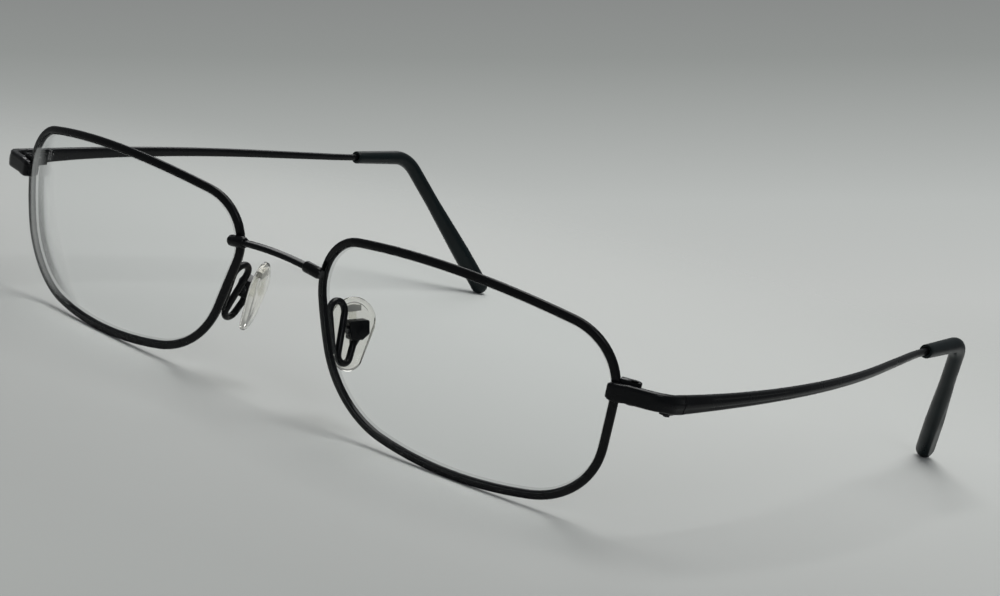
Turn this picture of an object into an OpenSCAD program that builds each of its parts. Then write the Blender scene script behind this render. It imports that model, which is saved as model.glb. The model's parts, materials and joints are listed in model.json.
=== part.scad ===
// Rectangular wire-rim eyeglasses with gooseneck nose pads and folding temples.
// They stand on their rims and temple tips: +Z is up and the lenses face -Y.
// The origin is on the table, under the middle of the whole object.
// Every piece is modelled on the +X side and mirrored for the other side.

/* [Eyewire] */
// Distance between the middles of the two lenses
eye_pitch = 72; // [66:0.5:76]
// Radial thickness of the eyewire
wire_t = 1.1; // [0.9:0.05:1.4]
// Front to back depth of the eyewire
wire_d = 1.4; // [1.3:0.1:2.2]
// Depth of the groove that holds the lens
groove_depth = 0.5; // [0.3:0.05:0.6]
// Width of the groove
groove_w = 0.7; // [0.5:0.05:0.8]
// Radius of the sphere that the lens and eyewire follow
base_r = 75; // [65:1:130]
// Angle by which each rim turns back towards the temple
rim_wrap = 4.8; // [0:0.2:8]
// Angle by which the tops of the rims lean forward on the table
rim_tilt = 11.9; // [6:0.1:16]

/* [Outline of the eye] */
// Sharp corner of the outline at the upper temporal side, across and up
corner_tu = [27.1, 11.2];
// Sharp corner of the outline at the upper nasal side
corner_nu = [-28.7, 12.3];
// Sharp corner of the outline at the lower nasal side
corner_nl = [-20.7, -12.6];
// Sharp corner of the outline at the lower temporal side
corner_tl = [24.5, -14];
// Radius of the top side
side_top_r = 91; // [70:1:140]
// Radius of the nasal side
side_nasal_r = 165; // [90:1:240]
// Radius of the bottom side
side_bottom_r = 88; // [70:1:140]
// Radius of the temporal side
side_temporal_r = 118; // [80:1:200]
// Rounding of the four corners, in the order that the corners are listed
corner_r = [10, 8.5, 16.2, 12.2];

/* [Lens] */
// Thickness of the lens
lens_t = 1.5; // [1.2:0.1:2]
// Gap between the lens and the eyewire all round
lens_gap = 0.03; // [0.02:0.01:0.08]

/* [Bridge] */
// Height of the middle of the bridge above the middle of the lenses
bridge_up = 8.5; // [5:0.1:11]
// Distance of the bridge behind the fronts of the lenses
bridge_back = 1.3; // [0.9:0.1:1.8]
// Radius of the bridge's arch
bridge_arch = 62; // [30:1:200]
// Height of the bridge bar's section
bridge_h = 1.4; // [1.1:0.05:1.5]
// Depth of the bridge bar's section
bridge_d = 1.2; // [1:0.05:1.3]
// Radius of the collar that joins the bar to each rim
collar_r = 0.95; // [0.9:0.05:1.3]
// Length of the collar
collar_len = 3.4; // [2.6:0.1:5]

/* [End piece and rim lock] */
// Thickness of the end piece in front of the rim
end_t = 1.5; // [1.3:0.05:1.7]
// Height of the end piece in front of the rim
end_h = 2.75; // [2.4:0.05:3.2]
// Height of the end piece at its bend
end_waist = 2.55; // [2.2:0.05:3]
// How much higher its waist sits than the temple bar
end_rise = 0.25; // [0:0.05:0.4]
// How much higher the front of the end piece sits than the temple bar
end_step = 0.1; // [0:0.05:0.4]
// How far the end piece reaches past the inner edge of the rim
end_reach = 0.4; // [0:0.05:0.5]
// Radius of the end piece's bend
end_bend_r = 3.7; // [3:0.1:4.2]
// Angle that the end piece turns through
end_turn = 60.5; // [56:0.5:65]
// Length of the rim lock outside the rim, to the axis of its screw
lock_reach = 2.1; // [1.9:0.1:2.6]
// Radius of the rounded end of the rim lock
lock_r = 1.1; // [0.95:0.05:1.2]
// Height of the upper lock block
lock_upper_h = 1.55; // [1.1:0.05:1.8]
// Height of the lower lock block
lock_lower_h = 1.5; // [1.1:0.05:2]
// Height of the split between them above the middle of the temple bar
split_at = 0.2; // [0:0.05:0.4]
// Width of the split in the eyewire and lock
split_gap = 0.1; // [0.06:0.01:0.2]
// Radius of the lock screw
lock_screw_r = 0.5; // [0.4:0.05:0.6]

/* [Hinge] */
// Distance from the side of the rim out to the temple bar at the hinge
hinge_out = 8; // [6:0.1:10]
// Distance from the side of the rim back to the hinge
hinge_behind = 5.2; // [4.6:0.1:7]
// Height of the hinge above the middle of the lenses
hinge_up = 5.8; // [3:0.1:9]
// Distance from the hinge axis back to the seam between end piece and temple bar
seam_back = 0.8; // [0:0.1:1]
// Depth of the barrels' middle below the middle of the temple bar
barrel_drop = 0.45; // [0:0.05:0.6]
// Outer radius of the hinge barrels
barrel_r = 1.1; // [0.95:0.05:1.4]
// Height of the middle barrel, which the temple carries
barrel_mid_h = 1.1; // [0.9:0.05:1.5]
// Height of each outer barrel, which the end piece carries
barrel_end_h = 1; // [0.7:0.05:1.4]
// Gap between neighbouring barrels
barrel_gap = 0.05; // [0.03:0.01:0.1]
// Radius of the hinge screw
hinge_screw_r = 0.5; // [0.4:0.05:0.6]
// Gap between a screw or pin and its hole
running_gap = 0.03; // [0.02:0.01:0.06]
// Length of the hinge leaf on the temple
leaf_len = 5; // [3.5:0.1:7]
// Length of the hinge leaf on the end piece
leaf_front_len = 2.2; // [1.5:0.1:3]
// Thickness of the hinge leaves
leaf_t = 0.45; // [0.35:0.05:0.7]
// Height of the hinge leaves
leaf_h = 2.1; // [2:0.05:2.6]

/* [Temple] */
// Angle of the temple outwards at the hinge, seen from above
temple_yaw = 9; // [4:0.5:11]
// Angle by which the temples rise towards the back
temple_rise = 2.5; // [0:0.1:4]
// Radius of the temple's bow behind the hinge
bow_r = 193; // [150:1:260]
// Angle that the bow turns inwards
bow_turn = 19; // [10:0.5:20]
// Radius of the reverse bow in front of the tip
sweep_r = 64; // [40:1:120]
// Angle that the reverse bow turns outwards
sweep_turn = 6.5; // [4:0.5:12]
// Length from the hinge to the bend over the ear
bend_len = 103.5; // [96:0.1:112]
// Height of the bar at the hinge
bar_h = 2.75; // [2.6:0.05:3.4]
// Height that the bar tapers from, behind its flare at the hinge
bar_waist = 1.85; // [1.6:0.05:2.5]
// Height of the bar where it enters the tip
bar_end_h = 1; // [0.95:0.05:1.4]
// Thickness of the bar
bar_t = 1.2; // [1.2:0.05:1.4]
// Thickness of the bar where it enters the tip
bar_end_t = 1; // [0.95:0.05:1.2]
// Height of the raised rib as a part of the bar's height
rib_part = 0.38; // [0.2:0.02:0.5]
// How far the rib stands out
rib_t = 0.2; // [0.1:0.05:0.3]

/* [Temple tip] */
// Radius of the core wire that the bar continues as inside the tip
core_r = 0.45; // [0.35:0.05:0.45]
// Radius of the tip's front end
tip_front_r = 1.15; // [1.1:0.05:1.3]
// Radius of the tip at the bend and along the upper part of the drop
tip_r = 1.4; // [1.3:0.05:1.7]
// Length of the tip in front of the bend over the ear
tip_lead = 15.5; // [12:0.5:18]
// Radius of the bend over the ear
tip_bend_r = 7; // [3:0.5:12]
// Angle of the bend over the ear
tip_bend = 53; // [40:0.5:65]
// Angle by which the drop leans in towards the head
tip_roll = 20; // [0:0.5:28]
// Radius of the tip's rounded end
tip_end_r = 1.8; // [1.7:0.05:2.2]
// Length of the tip's end that keeps that radius, for a retainer sleeve to slide on
tip_sleeve_len = 9; // [6:0.5:12]
// Depth of the flat on the outer side of the tip, at the end
tip_flat = 0.3; // [0:0.05:0.4]
// Length of the round upper part of the drop
tip_round_len = 12; // [8:0.5:16]
// Length of the core wire past the bend
core_drop = 24; // [10:1:28]

/* [Nose pads] */
// Radius of the gooseneck wire
arm_r = 0.57; // [0.45:0.01:0.65]
// Foot of the gooseneck on the back of the rim: from the rim's nose side out, from the lens back, and up
arm_foot = [2.73, 0.06, -5.1];
// Angle of the gooseneck's plane, its top towards the nose
arm_plane = 15; // [8:0.5:20]
// Lengths of the leg up from the foot, the leg down and the hook up into the box
arm_legs = [6.3, 6.2, 3.3];
// Angles of those three legs from upright, towards the face
arm_angles = [3.5, 24, 33];
// Radius of the upper turn of the gooseneck
arm_turn_r = 1.75; // [1.4:0.05:2.1]
// Radius of the lower turn of the gooseneck
arm_low_r = 1.4; // [1.1:0.05:1.7]
// Middle of the pad from the foot of the gooseneck: out, back and up
pad_at = [-1.95, 6.05, 1.25];
// Width of the pad from front to back
pad_w = 8; // [7:0.1:9]
// Height of the pad
pad_h = 12; // [11:0.1:14]
// Thickness of the pad
pad_t = 1.7; // [1.4:0.1:2.2]
// Angle by which the pad opens towards the face
pad_splay = 24; // [10:1:35]
// Angle by which the pads lean together at the top
pad_lean = 12; // [0:1:20]
// Angle by which the lower end of the pad leans forward
pad_tilt = 9; // [0:0.5:12]
// Radius of the pad's crowned face
pad_crown_r = 20; // [16:1:40]
// Radius of the pad's lower end
pad_low_r = 2.6; // [2:0.1:3]
// Thickness of the hard core inside the pad
core_t = 0.5; // [0.4:0.05:0.6]
// Width of the pad box from front to back
box_w = 3.3; // [3:0.1:4]
// Height of the pad box
box_h = 3.1; // [2.8:0.1:3.4]
// Depth of the pad box across the nose
box_d = 2; // [1.8:0.1:2.6]
// Height of the box's middle above the middle of the pad
box_up = 1.05; // [0:0.05:2]
// Distance of the box's middle behind the middle of the pad
box_back = 0.3; // [-0.5:0.05:0.8]
// Thickness of the sides of the pad box
box_wall = 0.55; // [0.4:0.05:0.8]
// Thickness of the back of the pad box
box_floor = 0.3; // [0.25:0.05:0.4]
// Radius of the pad screw
pad_screw_r = 0.4; // [0.3:0.05:0.5]
// Gap between the box and the back of the pad
pad_gap = 0.5; // [0.4:0.05:0.9]

/* [Hidden] */
$fn = 48;

// Gap left where one brazed piece is cut to fit another
braze_gap = 0.01;
// How far the end piece is let in over the front of the rim, before it is cut to fit
end_sink = 0.35;
// How much thinner a straight wire is than the bends that it runs into
wire_step = 0.02;
// Distance from the end of the bridge bar to the middle of the rim
bridge_short = 1.55;
// Distance from the hinge axis to the start of a leaf
leaf_from = 1.3;
// Radius and height of the slotted heads of the frame's screws, and width of their slot
head_r = 0.85;
head_h = 0.35;
slot_w = 0.2;
// How far the end of the hinge screw stands out below its barrel
screw_out = 0.25;
// Radius and height of the pad screw's head
pad_head_r = 0.7;
pad_head_h = 0.3;
// Radius of the pad's boss inside the box, and side of the square neck behind it
boss_r = 0.65;
neck_w = 1.2;
// Cut at the lower back corner of the pad box, back and up, and ease of its other corners
box_cut = [1.2, 0.9];
box_ease = 0.25;
// Width and height of the bar at the top of the pad's hard core, and height of its middle
core_bar = [3, 1];
core_bar_up = 4.2;
// Steps along each rounded corner of the eye, and along each side
corner_steps = 10;
side_steps = 7;
// Steps along the temple's bow and along its reverse bow
bow_steps = 16;
sweep_steps = 5;
// Steps along the taper of the bar's side view
taper_steps = 12;
// Steps along the end piece's bend
bend_steps = 14;

// Eye outline: four wide side arcs, rounded into each other at the corners.
corners = [corner_tu, corner_nu, corner_nl, corner_tl];
sides = [side_top_r, side_nasal_r, side_bottom_r, side_temporal_r];

function next(i) = (i + 1) % 4;
function last(i) = (i + 3) % 4;
function heading(v) = atan2(v[1], v[0]);
function on_circle(c, r, a) = c + r * [cos(a), sin(a)];
// The meeting point of two circles that lies on the left of the line between them
function meet_left(c1, r1, c2, r2) =
  let (
    span = norm(c2 - c1),
    along = (span * span + r1 * r1 - r2 * r2) / (2 * span),
    out = sqrt(r1 * r1 - along * along),
    u = (c2 - c1) / span
  ) c1 + along * u + out * [-u[1], u[0]];
side_mid = [for (i = [0:3]) meet_left(corners[i], sides[i], corners[next(i)], sides[i])];
corner_mid = [for (i = [0:3])
  meet_left(side_mid[last(i)], sides[last(i)] - corner_r[i], side_mid[i], sides[i] - corner_r[i])];
function bearing(i, j) = heading(corner_mid[j] - side_mid[i]);
// Points of one arc, without its last one
function arc(c, r, a, b, steps) =
  let (sweep = (b - a + 720) % 360)
    [for (k = [0:steps - 1]) on_circle(c, r, a + sweep * k / steps)];
// The outline, grown outwards by grow
function eye(grow) = [for (i = [0:3]) each concat(
  arc(corner_mid[i], corner_r[i] + grow, bearing(last(i), i), bearing(i, i), corner_steps),
  arc(side_mid[i], sides[i] + grow, bearing(i, i), bearing(i, next(i)), side_steps)
)];

eye_line = eye(0);
eye_low = min([for (p = eye_line) p[1]]);
eye_high = max([for (p = eye_line) p[1]]);
eye_right = max([for (p = eye_line) p[0]]);
eye_left = min([for (p = eye_line) p[0]]);
// Depth of the base sphere at a point of the lens
function sag(u, v) = base_r - sqrt(base_r * base_r - u * u - v * v);
// Back and front of the space that an eye takes
eye_back = sag(eye_left, eye_high) + 3;
eye_front = 4;
// Points of the lens seen from the middle of the base sphere, on the plane that touches its front
function flat(points) = [for (p = points) p * base_r / (base_r - sag(p[0], p[1]))];

// Height of the lens middles over the table, so that the rims stand on it
front_z = (wire_t / 2 - eye_low) * cos(rim_tilt)
  + (wire_d / 2 - sag(0, eye_low)) * sin(rim_tilt);

// Temple line seen from above, in the hinge's frame, as points with outward normals
bow_end = bow_r * [cos(bow_turn) - 1, sin(bow_turn)];
bar_len = bend_len - tip_lead - running_gap;
straight_len = bar_len - (bow_r * bow_turn + sweep_r * sweep_turn) * PI / 180;
sweep_start = bow_end + straight_len * [-sin(bow_turn), cos(bow_turn)];
sweep_mid = sweep_start + sweep_r * [cos(bow_turn), sin(bow_turn)];
tip_turn = bow_turn - sweep_turn;
bar_end = sweep_mid - sweep_r * [cos(tip_turn), sin(tip_turn)];
elbow = bar_end + (tip_lead + running_gap) * [-sin(tip_turn), cos(tip_turn)];
bar_line = concat(
  [for (k = [0:bow_steps]) let (a = bow_turn * k / bow_steps)
    [bow_r * (cos(a) - 1), bow_r * sin(a) + (k == 0 ? seam_back + running_gap : 0), cos(a), sin(a)]],
  [for (k = [0:sweep_steps]) let (a = bow_turn - sweep_turn * k / sweep_steps, p = sweep_mid - sweep_r * [cos(a), sin(a)])
    [p[0], p[1], cos(a), sin(a)]]
);
// Half of the angle that the bridge bar spans in its arch
bridge_half = asin((eye_pitch / 2 + eye_left - bridge_short) / bridge_arch);

// Front of the eyewire beside the split, in the hinge's frame
side_y = eye_right * sin(rim_wrap) + (sag(eye_right, hinge_up) - wire_d / 2) * cos(rim_wrap);
side_x = eye_pitch / 2 + eye_right * cos(rim_wrap) - (sag(eye_right, hinge_up) - wire_d / 2) * sin(rim_wrap);
side_up = (hinge_up - side_y * sin(rim_tilt)) / cos(rim_tilt);
side_at = turn_x([side_x, side_y, side_up], rim_tilt);
// The hinge's place behind and outside the rim
hinge_x = side_at[0] + hinge_out;
hinge_back = side_at[1] + hinge_behind;
function to_hinge(v) = turn_z(turn_x(v - [hinge_x, hinge_back, hinge_up], -temple_rise), temple_yaw);
side_front = to_hinge(side_at);
// The foot of the gooseneck and the middle of the pad, in the rims' frame
foot_at = [
  eye_pitch / 2 + eye_left * cos(rim_wrap) + arm_foot[0],
  sag(eye_left, arm_foot[2]) + eye_left * sin(rim_wrap) + arm_foot[1],
  arm_foot[2]
];
pad_mid = foot_at + pad_at;
// End piece line from the hinge forward: straight, bend, then straight over the rim's front
end_dir = [-sin(end_turn), -cos(end_turn)];
end_out = [cos(end_turn), -sin(end_turn)];
end_over = side_front + (end_t / 2 - end_sink) * [end_out[0], end_out[1], 0];
end_run = (end_bend_r * (1 - cos(end_turn)) + end_over[0]) / end_dir[0];
end_lead = -end_over[1] - end_bend_r * sin(end_turn) + end_run * end_dir[1];
end_arc_end = [end_bend_r * (cos(end_turn) - 1), -end_lead - end_bend_r * sin(end_turn)];
end_tip = end_arc_end + (end_run + 2 * wire_t) * end_dir;
end_line = concat(
  [[0, seam_back, 1, 0]],
  [for (k = [0:bend_steps]) let (a = end_turn * k / bend_steps)
    [end_bend_r * (cos(a) - 1), -end_lead - end_bend_r * sin(a), cos(a), -sin(a)]],
  [[end_tip[0], end_tip[1], end_out[0], end_out[1]]]
);
// A strip along such a line, from near on its inner side to far on its outer side
function strip(line, near, far, near_end, far_end) = let (last_k = len(line) - 1) concat(
  [for (k = [0:last_k]) let (p = line[k], f = far + (far_end - far) * k / last_k)
    [p[0] + f * p[2], p[1] + f * p[3]]],
  [for (k = [last_k:-1:0]) let (p = line[k], n = near + (near_end - near) * k / last_k)
    [p[0] - n * p[2], p[1] - n * p[3]]]
);

// The drop of the temple tip, as a direction in the hinge's frame
drop_dir = [
  -sin(tip_turn) * cos(tip_bend) - cos(tip_turn) * sin(tip_roll) * sin(tip_bend),
  cos(tip_turn) * cos(tip_bend) - sin(tip_turn) * sin(tip_roll) * sin(tip_bend),
  -cos(tip_roll) * sin(tip_bend)
];
function turn_z(v, a) = [v[0] * cos(a) - v[1] * sin(a), v[0] * sin(a) + v[1] * cos(a), v[2]];
function turn_x(v, a) = [v[0], v[1] * cos(a) - v[2] * sin(a), v[1] * sin(a) + v[2] * cos(a)];
function from_hinge(v) = turn_x(turn_z(v, -temple_yaw), temple_rise);
elbow_rise = from_hinge([elbow[0], elbow[1], 0])[2];
// Length of the drop, so that the tips stand on the table
drop_len = (front_z + hinge_up + elbow_rise - tip_end_r) / -from_hinge(drop_dir)[2];
tip_tangent = tip_bend_r * tan(tip_bend / 2);
// Angle of the tip's flat to its drop, so that it runs out where the drop is thin
tip_flat_turn = atan((tip_flat + tip_r - tip_end_r) / (drop_len - tip_round_len));

// Front and back of the whole object, to put the origin under its middle
front_reach = max([for (p = eye(wire_t / 2)) p[1] * sin(rim_tilt) - cos(rim_tilt)
  * (p[0] * sin(rim_wrap) + (sag(p[0], p[1]) - wire_d / 2) * cos(rim_wrap))]);
rear_reach = hinge_back + from_hinge([elbow[0], elbow[1], 0] + drop_len * drop_dir)[1] + tip_end_r;
front_y = (front_reach - rear_reach) / 2;

// Height of the split in the eye's frame
split_up = (hinge_up + split_at + side_front[1] * sin(temple_rise)
  - (side_y + wire_d / 2) * sin(rim_tilt)) / cos(rim_tilt);

// Place of the hinge axis beside the temple bar
axis_in = bar_t / 2 + barrel_r + running_gap;
barrel_top = barrel_mid_h / 2 + barrel_gap + barrel_end_h;
// Face of the temple bar and of the end piece, seen from the hinge axis
bar_face = axis_in - bar_t / 2 - braze_gap;

// The lock screw's axis, behind the end piece and outside the rim
lock_at = [side_front[0], side_front[1]] - (lock_reach + wire_t / 2) * end_dir - (lock_r - end_sink) * end_out;

black = [0.05, 0.055, 0.06];
black_tip = [0.06, 0.075, 0.08];
steel = [0.25, 0.25, 0.27];
clear_lens = [0.8, 0.86, 0.88, 0.35];
clear_pad = [0.85, 0.83, 0.76, 0.6];

// Puts a piece on the left side as it is, or mirrors it for the right side
module on(side) {
  mirror([side == "right" ? 1 : 0, 0, 0]) children();
}

// Frame of the two rims: middle plane at X = 0, lens middles at Z = 0
module in_front() {
  translate([0, front_y, front_z]) rotate([rim_tilt, 0, 0]) children();
}

// Frame of one eye: its middle at the origin, +X to the temple, front surface towards -Y
module in_eye() {
  in_front() translate([eye_pitch / 2, 0, 0]) rotate([0, 0, rim_wrap]) children();
}

// Frame of one temple: the bar's middle line at the hinge, +Y along the bar
module in_hinge() {
  translate([hinge_x, front_y + hinge_back, front_z + hinge_up])
    rotate([temple_rise, 0, 0]) rotate([0, 0, -temple_yaw]) children();
}

// Frame of one pad: +X out to the pad box, +Y back along its width, +Z up
module in_pad() {
  in_front() translate(pad_mid) rotate([0, 0, -pad_splay]) rotate([0, -pad_lean, 0]) children();
}

// The space inside the outline, grown outwards, with walls square to the base sphere
module eye_prism(grow) {
  translate([0, eye_back, 0]) rotate([90, 0, 0])
    linear_extrude(eye_back + eye_front, scale = (base_r + eye_front) / (base_r - eye_back))
      scale((base_r - eye_back) / base_r) polygon(flat(eye(grow)));
}

// The space between two spheres either side of the base sphere
module base_shell(front, back) {
  translate([0, base_r, 0]) difference() {
    sphere(base_r + front, $fn = 240);
    sphere(base_r - back, $fn = 240);
  }
}

// The space of an eyewire and its lens, which the pieces on it are cut to fit
module eye_space() {
  intersection() {
    eye_prism(wire_t / 2 + braze_gap);
    base_shell(wire_d / 2 + braze_gap, wire_d / 2 + braze_gap);
  }
}

module rim(side) {
  color(black) on(side) in_eye() difference() {
    intersection() {
      difference() {
        eye_prism(wire_t / 2);
        eye_prism(-wire_t / 2);
      }
      base_shell(wire_d / 2, wire_d / 2);
    }
    intersection() {
      eye_prism(groove_depth - wire_t / 2);
      base_shell(groove_w / 2, groove_w / 2);
    }
    translate([eye_right / 2, -eye_front, split_up - split_gap / 2])
      cube([eye_right, eye_back + eye_front, split_gap]);
  }
}

module lens(side) {
  color(clear_lens) on(side) in_eye() union() {
    intersection() {
      eye_prism(-wire_t / 2 - lens_gap);
      base_shell(lens_t / 2 - 0.1, lens_t / 2 + 0.1);
    }
    intersection() {
      eye_prism(groove_depth - wire_t / 2 - lens_gap);
      base_shell(groove_w / 2 - lens_gap, groove_w / 2 - lens_gap);
    }
  }
}

// Frame at the middle of the bridge's arch circle
module in_arch() {
  in_front() translate([0, bridge_back, bridge_up - bridge_arch]) children();
}

// Arched bar between the rims with a rib along its front
module bridge_blank(grow) {
  h = bridge_h / 2 + grow;
  d = bridge_d / 2 + grow;
  in_arch() rotate([90, 0, 0]) rotate([0, 0, 90 - bridge_half - grow])
    rotate_extrude(angle = 2 * (bridge_half + grow)) translate([bridge_arch, 0]) polygon([
      [-h, -d], [h, -d], [h, d * 0.5], [h * 0.35, d], [-h * 0.35, d], [-h, d * 0.5]
    ]);
}

module bridge_bar() {
  color(black) bridge_blank(0);
}

module bridge_collar(side) {
  color(black) on(side) difference() {
    in_arch() rotate([0, bridge_half, 0]) translate([bridge_short, 0, bridge_arch]) rotate([0, -90, 0])
      union() {
        cylinder(h = collar_len, r = collar_r);
        sphere(collar_r);
      }
    bridge_blank(braze_gap);
    in_eye() eye_space();
  }
}

// The end piece wraps the front of the rim and bends back to the hinge
module end_piece(side) {
  // Back edge of the tall part in front of the rim, and half of the bend's depth
  block = end_over[1] + end_t / 3;
  half_bend = -end_lead - end_bend_r / 2;
  waist_low = end_rise - end_waist / 2;
  color(black) on(side) difference() {
    in_hinge() union() {
      intersection() {
        linear_extrude(3 * end_h, center = true)
          polygon(strip(end_line, bar_t / 2, bar_t / 2, bar_t / 2, end_t - bar_t / 2));
        rotate([90, 0, 90]) linear_extrude(2 * hinge_x, center = true) polygon([
          [end_tip[1] - end_t, end_step - end_h / 2], [block, end_step - end_h / 2],
          [block + end_t / 3, waist_low], [half_bend, waist_low],
          [-end_lead / 2, -bar_h / 2], [seam_back, -bar_h / 2], [seam_back, bar_h / 2], [-end_lead / 2, bar_h / 2],
          [half_bend, waist_low + end_waist], [block + end_t / 3, waist_low + end_waist],
          [block, end_step + end_h / 2], [end_tip[1] - end_t, end_step + end_h / 2]
        ]);
      }
      linear_extrude(bar_h * rib_part, center = true)
        polygon(strip([for (k = [0:len(end_line) - 2]) end_line[k]], 0, bar_t / 2 + rib_t, 0, end_t - bar_t / 2 + rib_t));
    }
    in_eye() eye_space();
    in_eye() eye_prism(-end_reach - wire_t / 2);
  }
}

// Plan of the lock: a strip behind the end piece with a round end
module lock_plan() {
  difference() {
    union() {
      translate(lock_at) circle(lock_r);
      translate(lock_at) rotate(-end_turn) translate([-lock_r, -lock_reach - wire_t - 1])
        square([2 * lock_r, lock_reach + wire_t + 1]);
    }
    polygon(strip(end_line, bar_t / 2 + braze_gap, bar_t, bar_t / 2 + braze_gap, end_t));
  }
}

// One half of the lock, between two heights
module lock_block(low, high) {
  difference() {
    in_hinge() difference() {
      translate([0, 0, low]) linear_extrude(high - low) lock_plan();
      translate([lock_at[0], lock_at[1], low - 1])
        cylinder(h = high - low + 2, r = lock_screw_r + running_gap);
    }
    in_eye() eye_prism(wire_t / 2 + braze_gap);
  }
}

module lock_upper(side) {
  color(black) on(side) lock_block(split_at + split_gap / 2, split_at + lock_upper_h);
}

module lock_lower(side) {
  color(black) on(side) lock_block(split_at - lock_lower_h, split_at - split_gap / 2);
}

// A slotted screw with its head at the top, between two heights
module slotted_screw(low, high, r) {
  difference() {
    union() {
      translate([0, 0, low]) cylinder(h = high - low + head_h / 2, r = r);
      translate([0, 0, high + braze_gap]) cylinder(h = head_h, r = head_r);
    }
    translate([-head_r, -slot_w / 2, high + head_h / 2]) cube([2 * head_r, slot_w, head_h]);
  }
}

module lock_screw(side) {
  color(steel) on(side) in_hinge() translate([lock_at[0], lock_at[1], 2 * split_at]) mirror([0, 0, 1])
    slotted_screw(split_at - lock_upper_h + screw_out / 2, split_at + lock_lower_h, lock_screw_r);
}

// The hinge axis beside the temple bar, with the barrels' middle at the origin
module on_axis() {
  translate([-axis_in, 0, -barrel_drop]) children();
}

// One hinge barrel with its arm to a leaf, between two heights; the leaf lies towards +Y.
// A sink in its top takes the head of the screw.
module knuckle(low, high, sink) {
  translate([0, 0, low]) difference() {
    union() {
      cylinder(h = high - low, r = barrel_r);
      cube([bar_face, leaf_from + leaf_t, high - low]);
    }
    translate([0, 0, -1]) cylinder(h = high - low + 2, r = hinge_screw_r + running_gap);
    translate([0, 0, high - low - sink]) cylinder(h = sink + 1, r = head_r + running_gap);
    translate([bar_face, -barrel_r, -1]) cube([1, 2 * barrel_r, high - low + 2]);
  }
}

// The leaf beside a bar, from the end of the knuckles back
module leaf(length) {
  translate([bar_face - leaf_t, leaf_from, -leaf_h / 2]) cube([leaf_t, length, leaf_h]);
}

// Outer barrels and the leaf on the end piece, cut to fit its bend
module hinge_front(side) {
  color(black) on(side) in_hinge() difference() {
    on_axis() mirror([0, 1, 0]) union() {
      knuckle(barrel_mid_h / 2 + barrel_gap, barrel_top, head_h);
      knuckle(-barrel_top, -barrel_mid_h / 2 - barrel_gap, 0);
      leaf(leaf_front_len);
    }
    linear_extrude(2 * bar_h, center = true) polygon(strip(end_line, bar_t / 2 + braze_gap, bar_t, bar_t / 2 + braze_gap, end_t));
  }
}

module hinge_screw(side) {
  color(steel) on(side) in_hinge() on_axis()
    slotted_screw(-barrel_top - screw_out, barrel_top - head_h, hinge_screw_r);
}

// Middle barrel and the leaf on the temple, cut to fit its bow
module hinge_temple(side) {
  color(black) on(side) in_hinge() difference() {
    on_axis() union() {
      knuckle(-barrel_mid_h / 2, barrel_mid_h / 2, 0);
      leaf(leaf_len);
    }
    linear_extrude(2 * bar_h, center = true) polygon(strip(bar_line, bar_t / 2 + braze_gap, bar_t, bar_t / 2, bar_t));
  }
}

// Height of the bar at a distance from the hinge: a flare at the hinge on a straight taper
function bar_height(y) = let (x = 1 - y / bar_end[1])
  bar_end_h + (bar_waist - bar_end_h) * x + (bar_h - bar_waist) * pow(x, 6);

// The side view of the bar or its rib, as wide as the given part of its height
module bar_side(part) {
  stations = [for (k = [0:taper_steps]) bar_end[1] * pow(k / taper_steps, 1.6)];
  rotate([90, 0, 90]) linear_extrude(2 * hinge_x, center = true) polygon(concat(
    [for (y = stations) [y, part * bar_height(y) / 2]],
    [for (k = [taper_steps:-1:0]) [stations[k], -part * bar_height(stations[k]) / 2]]
  ));
}

// A tapered, bowed and ribbed bar, in one piece with the core wire of its tip
module temple(side) {
  color(black) on(side) in_hinge() union() {
    intersection() {
      linear_extrude(2 * bar_h, center = true) polygon(strip(bar_line, bar_t / 2, bar_t / 2, bar_end_t / 2, bar_end_t / 2));
      bar_side(1);
    }
    intersection() {
      linear_extrude(2 * bar_h, center = true)
        polygon(strip(bar_line, 0, bar_t / 2 + rib_t, 0, bar_end_t / 2 - rib_t));
      bar_side(rib_part);
    }
    in_tip() tip_rod(core_r, core_r, tip_lead + 1, core_drop);
  }
}

// Frame of the tip: the elbow at the origin, +Y along the bar, the drop in the YZ plane
module in_tip() {
  translate([elbow[0], elbow[1], 0]) rotate([0, 0, tip_turn]) rotate([0, tip_roll, 0]) children();
}

// Part of a ring that starts at the origin along +Z and turns towards +Y,
// with what follows it placed at its end
module bend(turn_r, angle, r) {
  translate([0, turn_r, 0]) rotate([90, 0, -90])
    rotate_extrude(angle = angle) translate([turn_r, 0]) circle(r);
  translate([0, turn_r * (1 - cos(angle)), turn_r * sin(angle)]) rotate([-angle, 0, 0]) children();
}

// A straight piece of wire along +Z that runs a little way into the bends at its ends
module wire(length, r) {
  translate([0, 0, -wire_step]) cylinder(h = length + 2 * wire_step, r = r - wire_step);
}

// A round rod along the bar, round the bend over the ear and down the drop
module tip_rod(front_r, r, lead, drop) {
  rotate([-90, 0, 0]) translate([0, 0, -lead])
    cylinder(h = lead - tip_tangent + wire_step, r1 = front_r - wire_step, r2 = r - wire_step);
  rotate([-90, 0, 0]) translate([0, 0, -tip_tangent]) bend(tip_bend_r, tip_bend, r)
    wire(drop - tip_tangent, r);
}

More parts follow.
